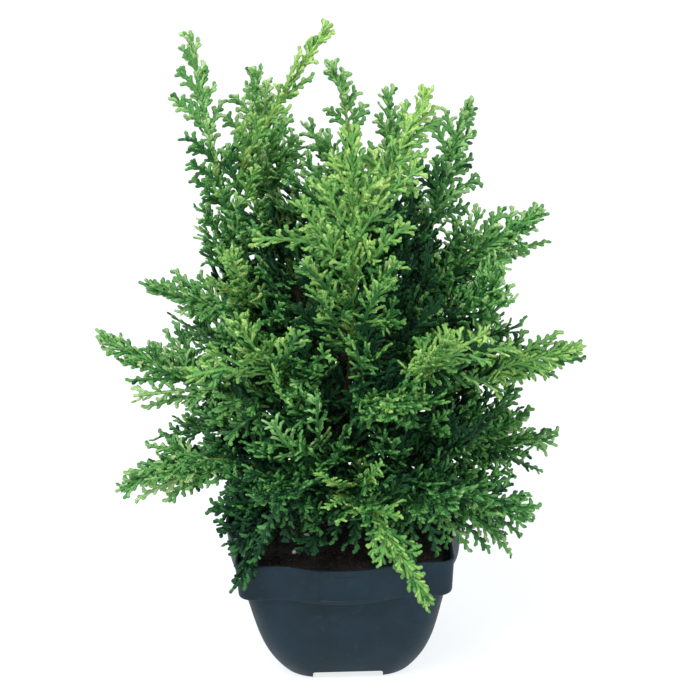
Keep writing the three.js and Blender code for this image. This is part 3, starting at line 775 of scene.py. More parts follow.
def line_mesh(name, lines):
    """A mesh of bare edges from (points, radii) in mm, with the radius as a point attribute in metres."""
    points, edges, radii, taken = [], [], [], 0
    for line, line_radii in lines:
        n = len(line)
        points.append(line)
        radii.append(line_radii)
        edges.append(np.stack([np.arange(n - 1), np.arange(1, n)], 1) + taken)
        taken += n
    mesh = bpy.data.meshes.new(name)
    mesh.from_pydata((np.vstack(points) * MM).tolist(), np.vstack(edges).tolist(), [])
    attribute = mesh.attributes.new("stem_radius", "FLOAT", "POINT")
    attribute.data.foreach_set("value", (np.concatenate(radii) * MM).astype(np.float32))
    return link_object(name, mesh)


STEMS = stem_tree()
print("stem tree inputs:", [i.name for i in STEMS.interface.items_tree if i.in_out == "INPUT"])

# %% Sweep trunk and boughs, with a little wander
WANDER_FADE, WANDER_RATES = 12, (0.06, 0.16)
TRUNK_FOOT = 78.6


def resampled(points, radii, step, wander, seed):
    """The line again with points every step mm, nudged by a slow random wander that fades at both ends."""
    lengths = lengths_along(points)
    at = np.linspace(0, lengths[-1], max(int(lengths[-1] / step), 3) + 1)
    rng = np.random.default_rng(seed)
    phase, rate = rng.uniform(0, 6.28, (2, 3)), rng.uniform(*WANDER_RATES, (2, 3))
    nudge = sum(np.sin(at[:, None] * rate[k] + phase[k]) - np.sin(phase[k]) for k in range(2))
    ends = np.minimum(at / WANDER_FADE, 1)[:, None] * np.minimum((lengths[-1] - at) / WANDER_FADE, 1)[:, None]
    return points_at(points, lengths, at) + wander * nudge * ends, np.interp(at, lengths, radii)


trunk = LIMBS["trunk"]
trunk_line, trunk_radius = resampled(trunk["points"], trunk["radii"], step=1.8, wander=0.35, seed=3)
keep = trunk_line[:, 2] > TRUNK_FOOT
bough_lines = [(trunk_line[keep], trunk_radius[keep])]
for order, (name, limb) in enumerate(LIMBS.items()):
    if name not in ("trunk", "slanted_leader"):
        bough_lines.append(resampled(limb["points"], limb["radii"], step=2.0, wander=0.3, seed=10 + order))
lines = line_mesh("bough_lines", bough_lines)
bark = grown(lines, STEMS, "bark_of_trunk_and_boughs", Sides=16, Strips_round=3.2, Strips_along=90.0,
             Relief=0.0009, Finish=BARK)
bpy.data.objects.remove(lines)
print("bark_of_trunk_and_boughs:", count_triangles(bark), "triangles")

# %% [markdown]
# ## Finish of the foliage
# The leaves of hinoki are tiny scales pressed flat to the shoot, with a waxy, half-glossy skin. Their green
# runs from blue-green where they are old to yellow-green at the growing tips. The darker shades are also
# painted shade: they are dealt to sprays low down and inside the crown, so that those look shaded.
# Each shade is a material of its own with one plain colour, and whole sprays are dealt a shade, because a
# colour that is bound to the mesh's faces can't slide in an export. Cells as wide as a scale dent the skin.
# The noise that breaks the gloss is about a millimetre wide, which is coarser than the bloom on a real leaf.

# %% Shades of scale leaves: colour, roughness and gloss level
LEAF_SHADES = {
    # The darkest shade is partly the dull green of old leaves and partly painted shade for the foot and
    # inside of the crown.
    "blue_shade_leaf": ("#0f261b", 0.60, 0.08),
    "deep_leaf": ("#1d4428", 0.56, 0.14),
    "summer_leaf": ("#316831", 0.50, 0.30),
    "fresh_leaf": ("#579349", 0.47, 0.42),
    "young_leaf": ("#85b16a", 0.46, 0.48),
    "tip_leaf": ("#a5c883", 0.48, 0.50),
    "golden_fresh_leaf": ("#5d9547", 0.47, 0.42),
    "golden_young_leaf": ("#80ae55", 0.46, 0.48),
    "golden_tip_leaf": ("#a2c66c", 0.48, 0.50),
}
GOLDEN_STEP = 3
LEAF_GRAIN, SCALE_SIZE, SCALE_DENT = 1.11, 1.5, 0.6


def waxy_leaf(name, colour, roughness, gloss_level):
    material, tree, shader = new_material(name)
    place = add_node(tree, "ShaderNodeTexCoord").outputs["Object"]
    grain = add_node(tree, "ShaderNodeTexNoise", Vector=place, Scale=1 / (LEAF_GRAIN * MM), Detail=2.0)
    scales = add_node(tree, "ShaderNodeTexVoronoi", Vector=place, Scale=1 / (SCALE_SIZE * MM))
    gloss = add_node(tree, "ShaderNodeMapRange", Value=grain.outputs["Fac"], From_Min=0.3, From_Max=0.7,
                     To_Min=roughness - 0.1, To_Max=roughness + 0.1)
    bump = add_node(tree, "ShaderNodeBump", {"invert": True}, Height=scales.outputs["Distance"], Strength=0.9,
                    Distance=SCALE_DENT * MM)
    fill(tree, shader, Base_Color=linear(colour), Roughness=gloss.outputs["Result"],
         Normal=bump.outputs["Normal"], IOR=1.45, Specular_IOR_Level=gloss_level)
    return material


LEAVES = [waxy_leaf(name, *look) for name, look in LEAF_SHADES.items()]
print("leaf shades from shaded to tip:", [m.name for m in LEAVES])

# %% [markdown]
# ## How a spray grows
# A hinoki's foliage repeats one thing at three sizes. A stem carries side shoots by turns left and right,
# in one plane; each of those carries shorter ones by turns, and the longer of these fork again. A spray of
# this model is therefore a rule with a seed: a main line, fans along it that fill the breadth and thickness
# of the spray's solid, and on each fan side shoots and forks that get shorter towards its tip. The table
# gives each spray's limb, base (or None where it carries on from the limb's end), tip, breadth, thickness,
# turn about its own line, arch (or the place of its knee), how light its green is on the scale of the
# shades above, and the piece that it is part of.

# %% Table of the sprays, in mm and degrees
Spray = namedtuple("Spray", "limb base tip breadth thickness turn arch light piece")
# A spray's light is lower low down, at the back and inside, and highest at the top: partly the green of old
# and young leaves, partly painted shade and light.
SPRAYS = {
    "slanted_tip_spray": ("slanted_leader", None, (0, -15, 368), 8, 7, 0, (-14, -14, 348), 3.5, "upper"),
    "left_tip_spray": ("left_leader", (-53, 0, 234), (-72, 0, 364), 18, 14, 90, (-66, 0, 303), 3.3, "upper"),
    "middle_tip_spray": ("trunk", None, (-1, 15, 343), 26, 18, 90, 3, 3.2, "upper"),
    "front_top_spray": ("front_leader", (10, -53, 262), (50, -20, 335), 38, 24, 60, 0, 3.4, "upper"),
    "right_tip_spray": ("right_leader", None, (75, 40, 316), 38, 30, 90, (55, 34, 262), 2.5, "upper"),
    "right_back_tip_spray": ("back_leader", None, (29, 40, 324), 44, 34, 90, (40, 38, 268), 2.8, "upper"),
    "left_back_tip_spray": ("left_back_leader", None, (-41, 25, 340), 66, 40, 90, -1, 3.1, "upper"),
    "front_leader_spray": ("front_leader", None, (10, -52, 325), 88, 48, 0, -4, 3.1, "front"),
    "right_long_spray": ("right_long_bough", None, (133, -15, 188), 50, 40, 20, 3, 2.8, "right"),
    "left_long_spray": ("left_long_bough", None, (-132, -5, 199), 54, 46, -25, -12, 2.9, "left"),
    "left_low_spray": ("left_low_bough", None, (-124, -20, 112), 60, 40, -20, (-79, -18, 143), 2.5, "left"),
    "right_upper_spray": ("right_upper_bough", None, (113, 5, 262), 70, 54, 25, -6, 2.5, "right"),
    "right_low_spray": ("right_low_bough", None, (122, 15, 120), 78, 56, 20, 3, 2.3, "right"),
    "left_upper_spray": ("left_upper_bough", None, (-107, 20, 218), 50, 38, -20, -5, 2.5, "left"),
    "front_skirt_spray": ("front_skirt_bough", None, (44, -100, 80), 46, 22, 0, (18, -106, 138), 2.6, "low"),
    "right_front_spray": ("right_front_bough", None, (58, -84, 224), 84, 56, 20, -8, 2.8, "front"),
    "left_front_spray": ("left_front_bough", None, (-52, -84, 236), 92, 60, -20, -10, 2.4, "front"),
    "front_bough_spray": ("front_leader", (8, -40, 178), (36, -94, 190), 88, 60, 0, 0, 1.8, "front"),
    "right_skirt_spray": ("right_skirt_bough", None, (104, -36, 100), 74, 38, 20, 9, 1.9, "low"),
    "left_skirt_spray": ("left_skirt_bough", None, (-57, -68, 77), 50, 24, 0, 8, 0.4, "low"),
    "left_flank_spray": ("left_leader", (-44, -10, 202), (-56, -60, 262), 62, 44, -40, 0, 2.6, "front"),
    "right_flank_spray": ("right_leader", (40, -4, 190), (86, -42, 236), 70, 50, 40, 0, 2.3, "right"),
    "front_low_spray": ("front_skirt_bough", (-6, -30, 128), (-36, -88, 138), 84, 52, 0, 0, 1.2, "low"),
    "front_right_low_spray": ("right_skirt_bough", (28, -28, 122), (60, -86, 132), 84, 52, 0, 0, 1.6, "low"),
    "back_upper_spray": ("back_leader", (4, 30, 204), (-8, 76, 262), 84, 56, 0, 0, 2.5, "back"),
    "back_left_spray": ("back_left_bough", None, (-64, 94, 196), 92, 58, 10, 0, 2.5, "back"),
    "back_right_spray": ("back_right_bough", None, (66, 92, 202), 88, 58, -10, 0, 2.3, "back"),
    "back_middle_spray": ("back_left_bough", (-2, 40, 146), (2, 107, 168), 84, 56, 0, 0, 2.2, "back"),
    "back_low_spray": ("back_low_bough", None, (-10, 105, 94), 80, 34, 0, 10, 1.6, "back_low"),
    "left_back_low_spray": ("back_low_bough", (-28, 24, 120), (-96, 66, 116), 80, 46, -10, 0, 1.8,
                            "back_low"),
    "right_back_low_spray": ("back_low_bough", (30, 26, 118), (92, 70, 112), 80, 46, 10, 0, 1.8,
                             "back_low"),
    "right_back_spray": ("right_leader", (40, 20, 168), (96, 58, 174), 74, 52, 15, 0, 2.1, "back_low"),
    "left_back_spray": ("left_upper_bough", (-38, 24, 168), (-86, 62, 180), 76, 52, -15, 0, 2.2, "back_low"),
}
SPRAYS = {name: Spray(*row) for name, row in SPRAYS.items()}
LIMB_PULL = 0.4


def spray_line(name):
    """Start, knee and end of a spray's main line. Without a base it carries on from its limb's end."""
    spray, limb = SPRAYS[name], LIMBS[SPRAYS[name].limb]
    start = np.array(spray.base, float) if spray.base else limb["points"][-1]
    tip = np.array(spray.tip, float)
    if isinstance(spray.arch, tuple):
        return start, np.array(spray.arch, float), tip
    carried_on = start + limb["way"] * np.linalg.norm(tip - start) * LIMB_PULL
    knee = (start + tip) / 2 if spray.base else carried_on
    return start, knee + UP * 2 * spray.arch, tip


print(len(SPRAYS), "sprays in", len({spray.piece for spray in SPRAYS.values()}), "pieces")

# %% [markdown]
# The crown's outline is drawn by the outermost twigs, and each of those is a twig of its own. A twig is set
# down by looking through the camera: the pixel that it starts near and the pixel of its tip, how far back
# the tip lies (mm), its breadth (mm) and how light its green is. It always springs from its parent's own
# line, at the place that is seen nearest to the start, so it holds together from every side.

# %% Twigs of the outline, each under the spray or limb that carries it
Twig = namedtuple("Twig", "from_across from_down tip_across tip_down depth breadth light")
# A twig's light is lower where it hangs low or sits deep under the crown: partly older green, partly painted
# shade.
TWIGS = {
    "left_tip_spray": [
        (194, 72, 181, 46, -8, 9, 2.8), (198, 92, 207, 66, 8, 8, 2.6), (199, 104, 179, 68, -7, 10, 2.8),
        (206, 132, 172, 98, -11, 14, 3.0), (205, 136, 224, 100, 11, 10, 2.9),
        (216, 164, 186, 136, -11, 14, 2.6), (222, 186, 189, 163, -14, 14, 2.4),
        (226, 200, 191, 180, -8, 12, 2.2), (219, 175, 240, 138, 8, 14, 2.8),
        (228, 205, 205, 196, -12, 14, 2.2), (202, 110, 216, 84, 4, 8, 2.8)],
    "left_leader": [
        (238, 250, 199, 226, -8, 16, 2.3), (240, 262, 203, 247, -10, 16, 2.1),
        (234, 228, 200, 203, -6, 16, 2.4), (236, 232, 222, 186, -16, 14, 2.6),
        (236, 240, 204, 214, -14, 18, 2.3), (238, 262, 202, 236, -20, 18, 2.2),
        (240, 280, 206, 258, -26, 18, 1.9), (236, 246, 240, 196, -22, 18, 2.6),
        (240, 270, 262, 226, -30, 18, 2.5)],
    "left_back_tip_spray": [
        (262, 190, 286, 116, 20, 18, 2.9), (264, 200, 302, 140, 24, 20, 2.6),
        (262, 172, 275, 128, 10, 12, 2.9), (258, 190, 238, 130, -4, 14, 3.1),
        (256, 200, 226, 152, -6, 14, 2.9), (260, 210, 250, 160, -4, 18, 2.8),
        (262, 160, 250, 67, 25, 11, 3.3), (257, 134, 232, 95, 19, 12, 3.1), (262, 128, 269, 79, 21, 13, 3.4),
        (262, 162, 225, 118, 19, 14, 2.9), (262, 150, 292, 117, 36, 12, 2.9),
        (262, 196, 232, 176, 14, 14, 2.7), (264, 190, 292, 150, 26, 16, 2.7),
        (264, 184, 298, 136, 2, 16, 2.7)],
    "slanted_leader": [
        (240, 196, 224, 150, -10, 14, 2.8), (240, 215, 258, 166, -12, 14, 2.7),
        (241, 235, 220, 188, -14, 16, 2.4), (241, 250, 262, 200, -16, 18, 2.3),
        (246, 165, 241, 122, -10, 12, 3.1), (252, 150, 264, 126, -10, 9, 3.2),
        (289, 92, 313, 76, -15, 8, 3.4), (303, 66, 301, 49, -18, 6, 3.4), (278, 106, 279, 84, -16, 9, 3.2),
        (268, 118, 290, 108, -14, 9, 3.0), (258, 138, 250, 112, -12, 9, 2.9)],
    "trunk": [
        (350, 205, 324, 132, 8, 16, 2.6), (350, 222, 300, 158, 6, 20, 2.4), (352, 185, 374, 148, 21, 14, 2.5),
        (350, 208, 305, 122, 16, 16, 2.6), (350, 190, 316, 142, 14, 16, 2.5),
        (350, 240, 290, 182, 0, 22, 2.3), (350, 230, 312, 172, -4, 22, 2.5), (350, 196, 330, 150, 4, 16, 2.7),
        (350, 245, 284, 174, -6, 20, 2.3)],
    "middle_tip_spray": [
        (347, 128, 326, 108, 10, 12, 2.8), (349, 138, 366, 104, 21, 13, 2.7),
        (346, 112, 356, 90, 24, 12, 2.6), (338, 84, 326, 70, 12, 8, 2.8), (338, 92, 348, 74, 18, 8, 2.8)],
    "right_back_tip_spray": [
        (400, 160, 408, 101, 49, 10, 3.1), (395, 150, 378, 115, 32, 12, 2.9),
        (404, 185, 412, 140, 40, 14, 2.6), (398, 190, 376, 156, 34, 16, 2.5)],
    "front_top_spray": [
        (404, 136, 438, 106, -17, 12, 3.6), (388, 172, 412, 118, -30, 16, 3.5),
        (370, 210, 424, 166, -40, 18, 3.2), (398, 150, 440, 118, -18, 12, 3.2),
        (384, 190, 420, 190, -36, 16, 2.8), (376, 200, 372, 150, -40, 16, 3.5),
        (414, 118, 430, 94, -22, 8, 3.8)],
    "front_leader_spray": [
        (376, 195, 356, 124, -48, 14, 3.2), (310, 262, 252, 240, -84, 18, 3.0),
        (345, 250, 288, 240, -66, 16, 2.9), (352, 300, 296, 200, -78, 20, 3.0),
        (356, 290, 410, 222, -74, 20, 2.8), (340, 380, 312, 290, -90, 22, 2.3),
        (350, 380, 382, 285, -90, 22, 2.3), (352, 262, 322, 178, -64, 18, 3.0),
        (352, 230, 376, 176, -58, 16, 3.1), (352, 320, 402, 262, -78, 20, 2.4),
        (350, 330, 300, 262, -84, 20, 2.5), (352, 210, 330, 152, -52, 14, 3.0)],
    "right_tip_spray": [
        (441, 212, 436, 156, 22, 14, 2.1), (449, 165, 433, 118, 28, 12, 2.1),
        (450, 160, 472, 130, 47, 13, 2.5), (444, 190, 472, 156, 48, 14, 2.5),
        (442, 205, 480, 180, 45, 16, 2.5), (440, 205, 418, 160, 25, 14, 1.9),
        (456, 134, 474, 108, 46, 12, 3.3), (438, 225, 468, 206, 44, 16, 2.4),
        (436, 232, 412, 196, 24, 16, 2.0), (452, 148, 444, 108, 36, 10, 2.7)],
    "right_upper_spray": [
        (450, 285, 510, 262, -4, 16, 2.4), (440, 262, 452, 214, -6, 18, 2.4),
        (442, 262, 466, 220, 0, 18, 2.4), (445, 300, 492, 262, 4, 20, 2.2), (440, 262, 543, 209, 16, 15, 2.8),
        (450, 275, 550, 241, 12, 13, 2.6), (455, 280, 528, 254, 20, 12, 2.4),
        (442, 258, 480, 207, 1, 16, 2.7), (455, 255, 503, 208, 9, 14, 2.7), (455, 300, 500, 276, 26, 18, 2.2),
        (455, 325, 496, 322, 23, 16, 2.1), (450, 290, 520, 228, 8, 14, 2.6)],
    "right_long_spray": [
        (455, 378, 582, 342, -7, 13, 3.1), (470, 385, 586, 358, -7, 11, 2.6),
        (470, 368, 561, 331, -13, 12, 3.0), (480, 360, 526, 330, -5, 12, 2.2),
        (500, 380, 556, 376, -2, 12, 2.0)],
    "right_front_spray": [
        (440, 420, 402, 420, -70, 22, 1.6), (460, 400, 500, 392, -40, 20, 2.4),
        (452, 400, 450, 330, -44, 20, 3.7), (470, 398, 490, 332, -42, 20, 3.6),
        (450, 400, 424, 342, -56, 18, 3.1), (470, 400, 516, 348, -40, 18, 3.2)],
    "right_low_spray": [
        (455, 450, 530, 456, 10, 14, 2.1), (455, 430, 514, 384, 10, 18, 2.0),
        (450, 420, 500, 366, 4, 20, 2.0), (470, 440, 532, 408, 16, 14, 2.2),
        (460, 450, 552, 436, 23, 14, 2.6), (450, 440, 543, 472, 25, 12, 2.3),
        (455, 430, 529, 417, 23, 12, 2.6), (470, 455, 516, 478, 18, 10, 1.9),
        (460, 420, 520, 388, 28, 14, 2.0)],
    "right_skirt_spray": [
        (444, 506, 522, 536, -24, 14, 2.0), (440, 505, 506, 540, -26, 16, 2.0),
        (436, 505, 494, 520, -20, 18, 1.9), (430, 500, 535, 510, -22, 16, 2.5),
        (425, 505, 512, 555, -23, 15, 2.1), (420, 510, 490, 552, -30, 14, 2.1),
        (415, 500, 470, 552, -34, 13, 2.4), (440, 490, 508, 480, -24, 14, 1.9),
        (440, 502, 525, 522, -27, 14, 2.1), (420, 505, 452, 560, -48, 13, 1.6),
        (430, 500, 500, 500, -30, 16, 2.2), (425, 510, 500, 536, -30, 14, 2.0),
        (450, 500, 496, 524, -20, 14, 1.7)],
    "front_skirt_spray": [
        (345, 480, 354, 440, -52, 22, 1.3), (340, 480, 378, 452, -54, 22, 1.3),
        (340, 485, 330, 452, -50, 22, 1.4), (350, 485, 366, 462, -58, 20, 1.5),
        (354, 490, 316, 473, -90, 13, 2.9), (358, 496, 336, 524, -90, 14, 2.8),
        (368, 510, 402, 516, -90, 12, 3.1), (372, 520, 372, 558, -94, 11, 2.7),
        (358, 488, 382, 461, -90, 13, 2.9), (380, 520, 420, 592, -98, 14, 1.7),
        (354, 490, 324, 508, -90, 12, 2.7), (380, 530, 420, 548, -94, 9, 2.3),
        (330, 505, 356, 552, -66, 10, 0.7), (320, 500, 332, 544, -68, 9, 0.6),
        (380, 530, 398, 572, -92, 10, 2.4), (376, 528, 404, 548, -88, 10, 2.6)],
    "left_upper_spray": [
        (232, 318, 146, 282, 24, 15, 3.1), (225, 308, 173, 270, 30, 13, 2.6),
        (228, 302, 200, 274, 22, 13, 2.4)],
    "left_long_spray": [
        (205, 388, 98, 335, 2, 13, 3.1), (190, 384, 121, 362, -13, 12, 2.8),
        (195, 388, 128, 381, -16, 11, 2.6), (225, 400, 133, 396, -21, 17, 3.6),
        (225, 406, 143, 408, -16, 13, 3.2), (215, 370, 165, 329, 6, 13, 2.2), (175, 375, 155, 345, 0, 9, 2.3),
        (225, 360, 175, 322, 6, 12, 2.2)],
    "left_low_spray": [
        (232, 448, 121, 488, -20, 15, 2.6), (220, 452, 125, 474, -24, 13, 2.4),
        (215, 450, 145, 444, -16, 12, 2.0), (232, 458, 135, 501, -26, 14, 3.1),
        (228, 462, 165, 502, -23, 14, 2.8), (220, 448, 168, 439, -10, 12, 1.8),
        (225, 462, 190, 492, -21, 12, 2.2), (220, 455, 142, 464, -18, 12, 2.2),
        (218, 450, 160, 456, -16, 13, 2.6), (232, 462, 198, 484, -24, 15, 2.5),
        (238, 458, 216, 484, -26, 16, 2.3)],
    "left_skirt_spray": [
        (272, 482, 209, 509, -40, 18, 0.6), (275, 492, 216, 530, -48, 18, 0.5),
        (280, 500, 228, 550, -56, 16, 0.4), (268, 478, 224, 486, -36, 18, 1.0),
        (290, 500, 241, 580, -66, 15, 0.8), (272, 482, 207, 511, -44, 12, 0.9),
        (275, 492, 220, 533, -54, 12, 0.6), (285, 470, 218, 500, -46, 14, 1.3),
        (280, 495, 262, 548, -62, 11, 0.5), (275, 495, 236, 552, -60, 12, 0.6)],
    "front_low_spray": [
        (332, 462, 352, 424, -72, 22, 1.3), (332, 466, 344, 446, -76, 20, 1.5),
        (320, 470, 262, 452, -80, 22, 1.2), (300, 472, 244, 470, -70, 20, 1.1),
        (318, 462, 300, 440, -90, 20, 1.7), (292, 505, 258, 557, -62, 10, 0.5),
        (300, 500, 293, 540, -62, 9, 0.5), (330, 440, 318, 395, -94, 20, 2.5),
        (310, 450, 272, 420, -92, 20, 2.6), (300, 490, 284, 542, -64, 12, 0.4),
        (316, 492, 306, 530, -66, 12, 0.6), (322, 495, 322, 546, -64, 12, 0.5),
        (310, 480, 276, 522, -70, 16, 0.9), (322, 480, 300, 512, -76, 16, 1.3)],
    "front_right_low_spray": [
        (394, 474, 372, 426, -68, 22, 1.3), (394, 476, 388, 438, -70, 22, 1.5),
        (352, 490, 342, 548, -62, 12, 0.8), (370, 492, 368, 540, -64, 12, 0.9),
        (388, 492, 392, 556, -66, 12, 1.0), (400, 490, 412, 562, -62, 13, 1.2),
        (410, 480, 438, 556, -60, 14, 1.5), (390, 470, 420, 520, -76, 16, 1.8)],
    "left_flank_spray": [
        (262, 350, 232, 254, -80, 24, 3.2), (258, 330, 212, 280, -62, 20, 2.4)],
    "left_front_spray": [
        (255, 400, 205, 350, -70, 22, 2.8), (262, 420, 214, 412, -66, 22, 2.0),
        (262, 430, 224, 440, -60, 22, 1.6), (300, 430, 262, 450, -84, 22, 1.4),
        (250, 415, 236, 321, -90, 24, 3.4), (245, 400, 278, 376, -84, 14, 3.0),
        (262, 372, 186, 378, -82, 20, 2.9), (270, 400, 300, 330, -88, 22, 2.4),
        (290, 400, 330, 350, -86, 22, 2.2)],
    "front_bough_spray": [
        (345, 450, 392, 405, -96, 20, 2.4), (350, 430, 352, 340, -92, 22, 2.0),
        (360, 440, 420, 380, -84, 22, 2.0)],
}
print(sum(len(rows) for rows in TWIGS.values()), "twigs of the outline")

# %% [markdown]
# A shoot is the smallest part that grows. Real ones are about 2.2 mm wide. These are a little wider, and
# inside the crown wider still, so that fewer of them fill it. All of them are kept as rows of numbers
# first, since a rule that counts in rows is quick, and they only become mesh at the end. Some sprays are
# golden: golden shades stand in for their three lightest. One random generator with a fixed seed serves all
# growth, so the plant comes out the same each time.

# %% A shoot is a chain of scales: collect many as rows of numbers
SHOOT_WIDTH, COARSE, FINE_FROM = 2.6, 1.2, 0.7
LIGHTEST = 5
PLACE, WAY, SIDE, BEND = (slice(first, first + 3) for first in (0, 3, 6, 9))
LENGTH, WIDTH, SHADE, TIP_SHADE, FINENESS = range(12, 17)
growth = np.random.default_rng(1923)


class Shoots:
    """Rows for one piece's shoots: place, way, side, bend per mm, length, width, two shades, fineness."""

    def __init__(self):
        self.rows = []
        self.golden = False

    def add(self, place, way, side, bend, length, width, shade, tip_shade, fine):
        n = len(place)
        if self.golden:
            shade, tip_shade = (np.asarray(v) + GOLDEN_STEP * (np.asarray(v) >= GOLDEN_STEP)
                                for v in (shade, tip_shade))
        vectors = [np.reshape(v, (n, 3)) for v in (place, way, side, bend)]
        numbers = [np.broadcast_to(v, (n,)) for v in (length, width, shade, tip_shade, fine)]
        self.rows.append(np.column_stack(vectors + numbers))

    def all_rows(self):
        return np.vstack(self.rows)


def on_shoot(place, way, bend, distance):
    """Point and direction at a distance along a gently bent shoot."""
    distance = np.asarray(distance, float)[..., None]
    return place + way * distance + 0.5 * bend * distance ** 2, unit(way + bend * distance)


print("a shoot is", SHOOT_WIDTH, "mm wide")

# %% The growth rule of one flat fan
SIDE_ANGLES, SIDE_LENGTHS, SIDE_CURL = (32, 44), (3.0, 16.0), 0.008
FORK_ANGLES, FORK_LENGTHS, FORK_CURL = (24, 35), (3.3, 7.5), 0.01
FORKS_FROM, FORK_STEP, FORK_WIDTH = 5.0, 2.3, 0.93


def grow_fan(shoots, base, way, face, length, light, fine=1.0, spacing=2.8, lift=0.1, breadth=None,
             bend=None):
    """An axis with side shoots by turns left and right, the longer ones forked. face is its upper side."""
    coarse = 1.0 if fine > FINE_FROM else COARSE
    way = unit(way)
    face = square_to(face, way)
    side = np.cross(face, way)
    bend = square_to(UP, way) * lift / length if bend is None else bend
    shade = np.clip(np.round(light + growth.normal(0, 0.3)), 0, LIGHTEST)
    tip_shade = np.clip(shade + (fine > FINE_FROM), 0, LIGHTEST)
    shoots.add([base], [way], [side], [bend], length, SHOOT_WIDTH, shade, tip_shade, fine)
    n = max(int(length * 0.93 / (spacing * coarse)), 2)
    t = (np.arange(n) + 0.75 + growth.uniform(-0.18, 0.18, n)) / (n + 0.35)
    hand = np.where((np.arange(n) + growth.integers(2)) % 2 == 0, 1.0, -1.0)
    places, ways = on_shoot(base, way, bend, t * length)
    sides = square_to(side, ways)
    faces = np.cross(ways, sides)
    angle = np.radians(growth.uniform(*SIDE_ANGLES, n) - 6 * t)
    out = sides * (hand * np.sin(angle))[:, None] + faces * growth.normal(0, 0.17, (n, 1))
    shoot_ways = unit(ways * np.cos(angle)[:, None] + out)
    longest = 0.68 * length ** 0.9 if breadth is None else 0.5 * breadth / np.sin(angle)
    reach = longest * (1 - t) ** (0.6 if breadth is None else 0.45) * np.minimum(1, 0.45 + 1.8 * t)
    reach = np.clip(reach * growth.uniform(0.8, 1.15, n), *SIDE_LENGTHS)
    turn_in = square_to(ways, shoot_ways) * SIDE_CURL
    shoot_sides = square_to(np.cross(faces, shoot_ways), shoot_ways)
    widths = SHOOT_WIDTH * coarse * growth.uniform(0.9, 1.05, n)
    shades = np.clip(shade + (growth.random(n) < 0.18) - (growth.random(n) < 0.12), 0, LIGHTEST)
    lighter = (growth.random(n) < np.where(shades < 3, 0.7, 0.4)) * (fine > FINE_FROM)
    tips = np.clip(shades + lighter, 0, LIGHTEST)
    shoots.add(places, shoot_ways, shoot_sides, turn_in, reach, widths, shades, tips, fine)
    for j in np.nonzero(reach > FORKS_FROM * coarse)[0]:
        m = max(int((reach[j] - 1.2) / (FORK_STEP * coarse)), 1)
        s = (np.arange(m) + 0.7 + growth.uniform(-0.15, 0.15, m)) / (m + 0.6) * reach[j]
        fork_places, fork_base = on_shoot(places[j], shoot_ways[j], turn_in[j], s)
        fork_side = square_to(shoot_sides[j], fork_base)
        fork_hand = np.where((np.arange(m) + (hand[j] > 0)) % 2 == 0, 1.0, -1.0)
        fork_angle = np.radians(growth.uniform(*FORK_ANGLES, m))
        spread = fork_side * (fork_hand * np.sin(fork_angle))[:, None] + growth.normal(0, 0.12, (m, 3))
        fork_ways = unit(fork_base * np.cos(fork_angle)[:, None] + spread)
        fork_sides = square_to(np.cross(faces[j], fork_ways), fork_ways)
        fork_reach = np.clip((reach[j] - s) * 0.66, *FORK_LENGTHS) * growth.uniform(0.85, 1.12, m)
        fork_curl = square_to(fork_base, fork_ways) * FORK_CURL
        shoots.add(fork_places, fork_ways, fork_sides, fork_curl, fork_reach,
                   SHOOT_WIDTH * coarse * FORK_WIDTH, shades[j], tips[j], fine)


print("one 30 mm fan, for scale:")
trial = Shoots()
grow_fan(trial, np.zeros(3), np.array([1.0, 0, 0]), UP, 30.0, 3.0)
print(len(trial.all_rows()), "shoots,", round(trial.all_rows()[:, LENGTH].sum()), "mm in all")

# %% The growth rule of a whole spray
BRANCHLET_FROM, BRANCHLET_STEP, BRANCHLET_FANS = 20.0, 3.6, (8.5, 15.0)
NARROW, SPRAY_STEPS, SPRAY_ENDS, FAN_LENGTHS = 50, (3.1, 3.9), (7.0, 11.0), (8.0, 44.0)
FULLEST_POWER, FULLNESS_POWER, FAN_ANGLE, FAN_CLOSING = 0.58, 0.7, 58, 26
LINE_SHARES = (0.45, 0.75), (0.72, 1.0)


def frame_on_line(ways, start, end, turn):
    """Side and face directions along a line: a level line across it, turned about it by an angle."""
    away = end - start
    level = unit(np.array([-away[1], away[0], 0.0]))
    flat = square_to(level, ways)
    rise = np.cross(ways, flat)
    side = flat * math.cos(turn) + rise * math.sin(turn)
    return side, np.cross(ways, side)


def grow_branchlet(shoots, base, way, face, length, light, lift=0.1):
    """A longer side stem with small fans by turns left and right, rolled up towards its upper side."""
    bend = square_to(UP, way) * lift / length
    n = max(int(length / BRANCHLET_STEP), 3)
    t = (np.arange(n) + 0.7 + growth.uniform(-0.2, 0.2, n)) / (n + 0.3)
    places, ways = on_shoot(base, way, bend, t * length)
    sides = square_to(np.cross(face, ways), ways)
    uppers = np.cross(ways, sides)
    for k in range(n):
        roll = (k % 2) * math.pi + growth.normal(0, 0.7)
        out = sides[k] * math.cos(roll) + uppers[k] * abs(math.sin(roll))
        lean = math.radians(growth.uniform(30, 46))
        fan_length = np.clip(0.5 * length * (1.1 - t[k]), *BRANCHLET_FANS) * growth.uniform(0.85, 1.15)
        grow_fan(shoots, places[k], ways[k] * math.cos(lean) + out * math.sin(lean),
                 face + growth.normal(0, 0.4, 3), fan_length, light + 0.6 * (t[k] - 0.5), spacing=2.6)
    shade = np.clip(round(light), 0, LIGHTEST)
    tip_shade = np.clip(shade + 1, 0, LIGHTEST)
    shoots.add([base], [way], sides[:1], [bend], length, SHOOT_WIDTH, shade, tip_shade, 1.0)


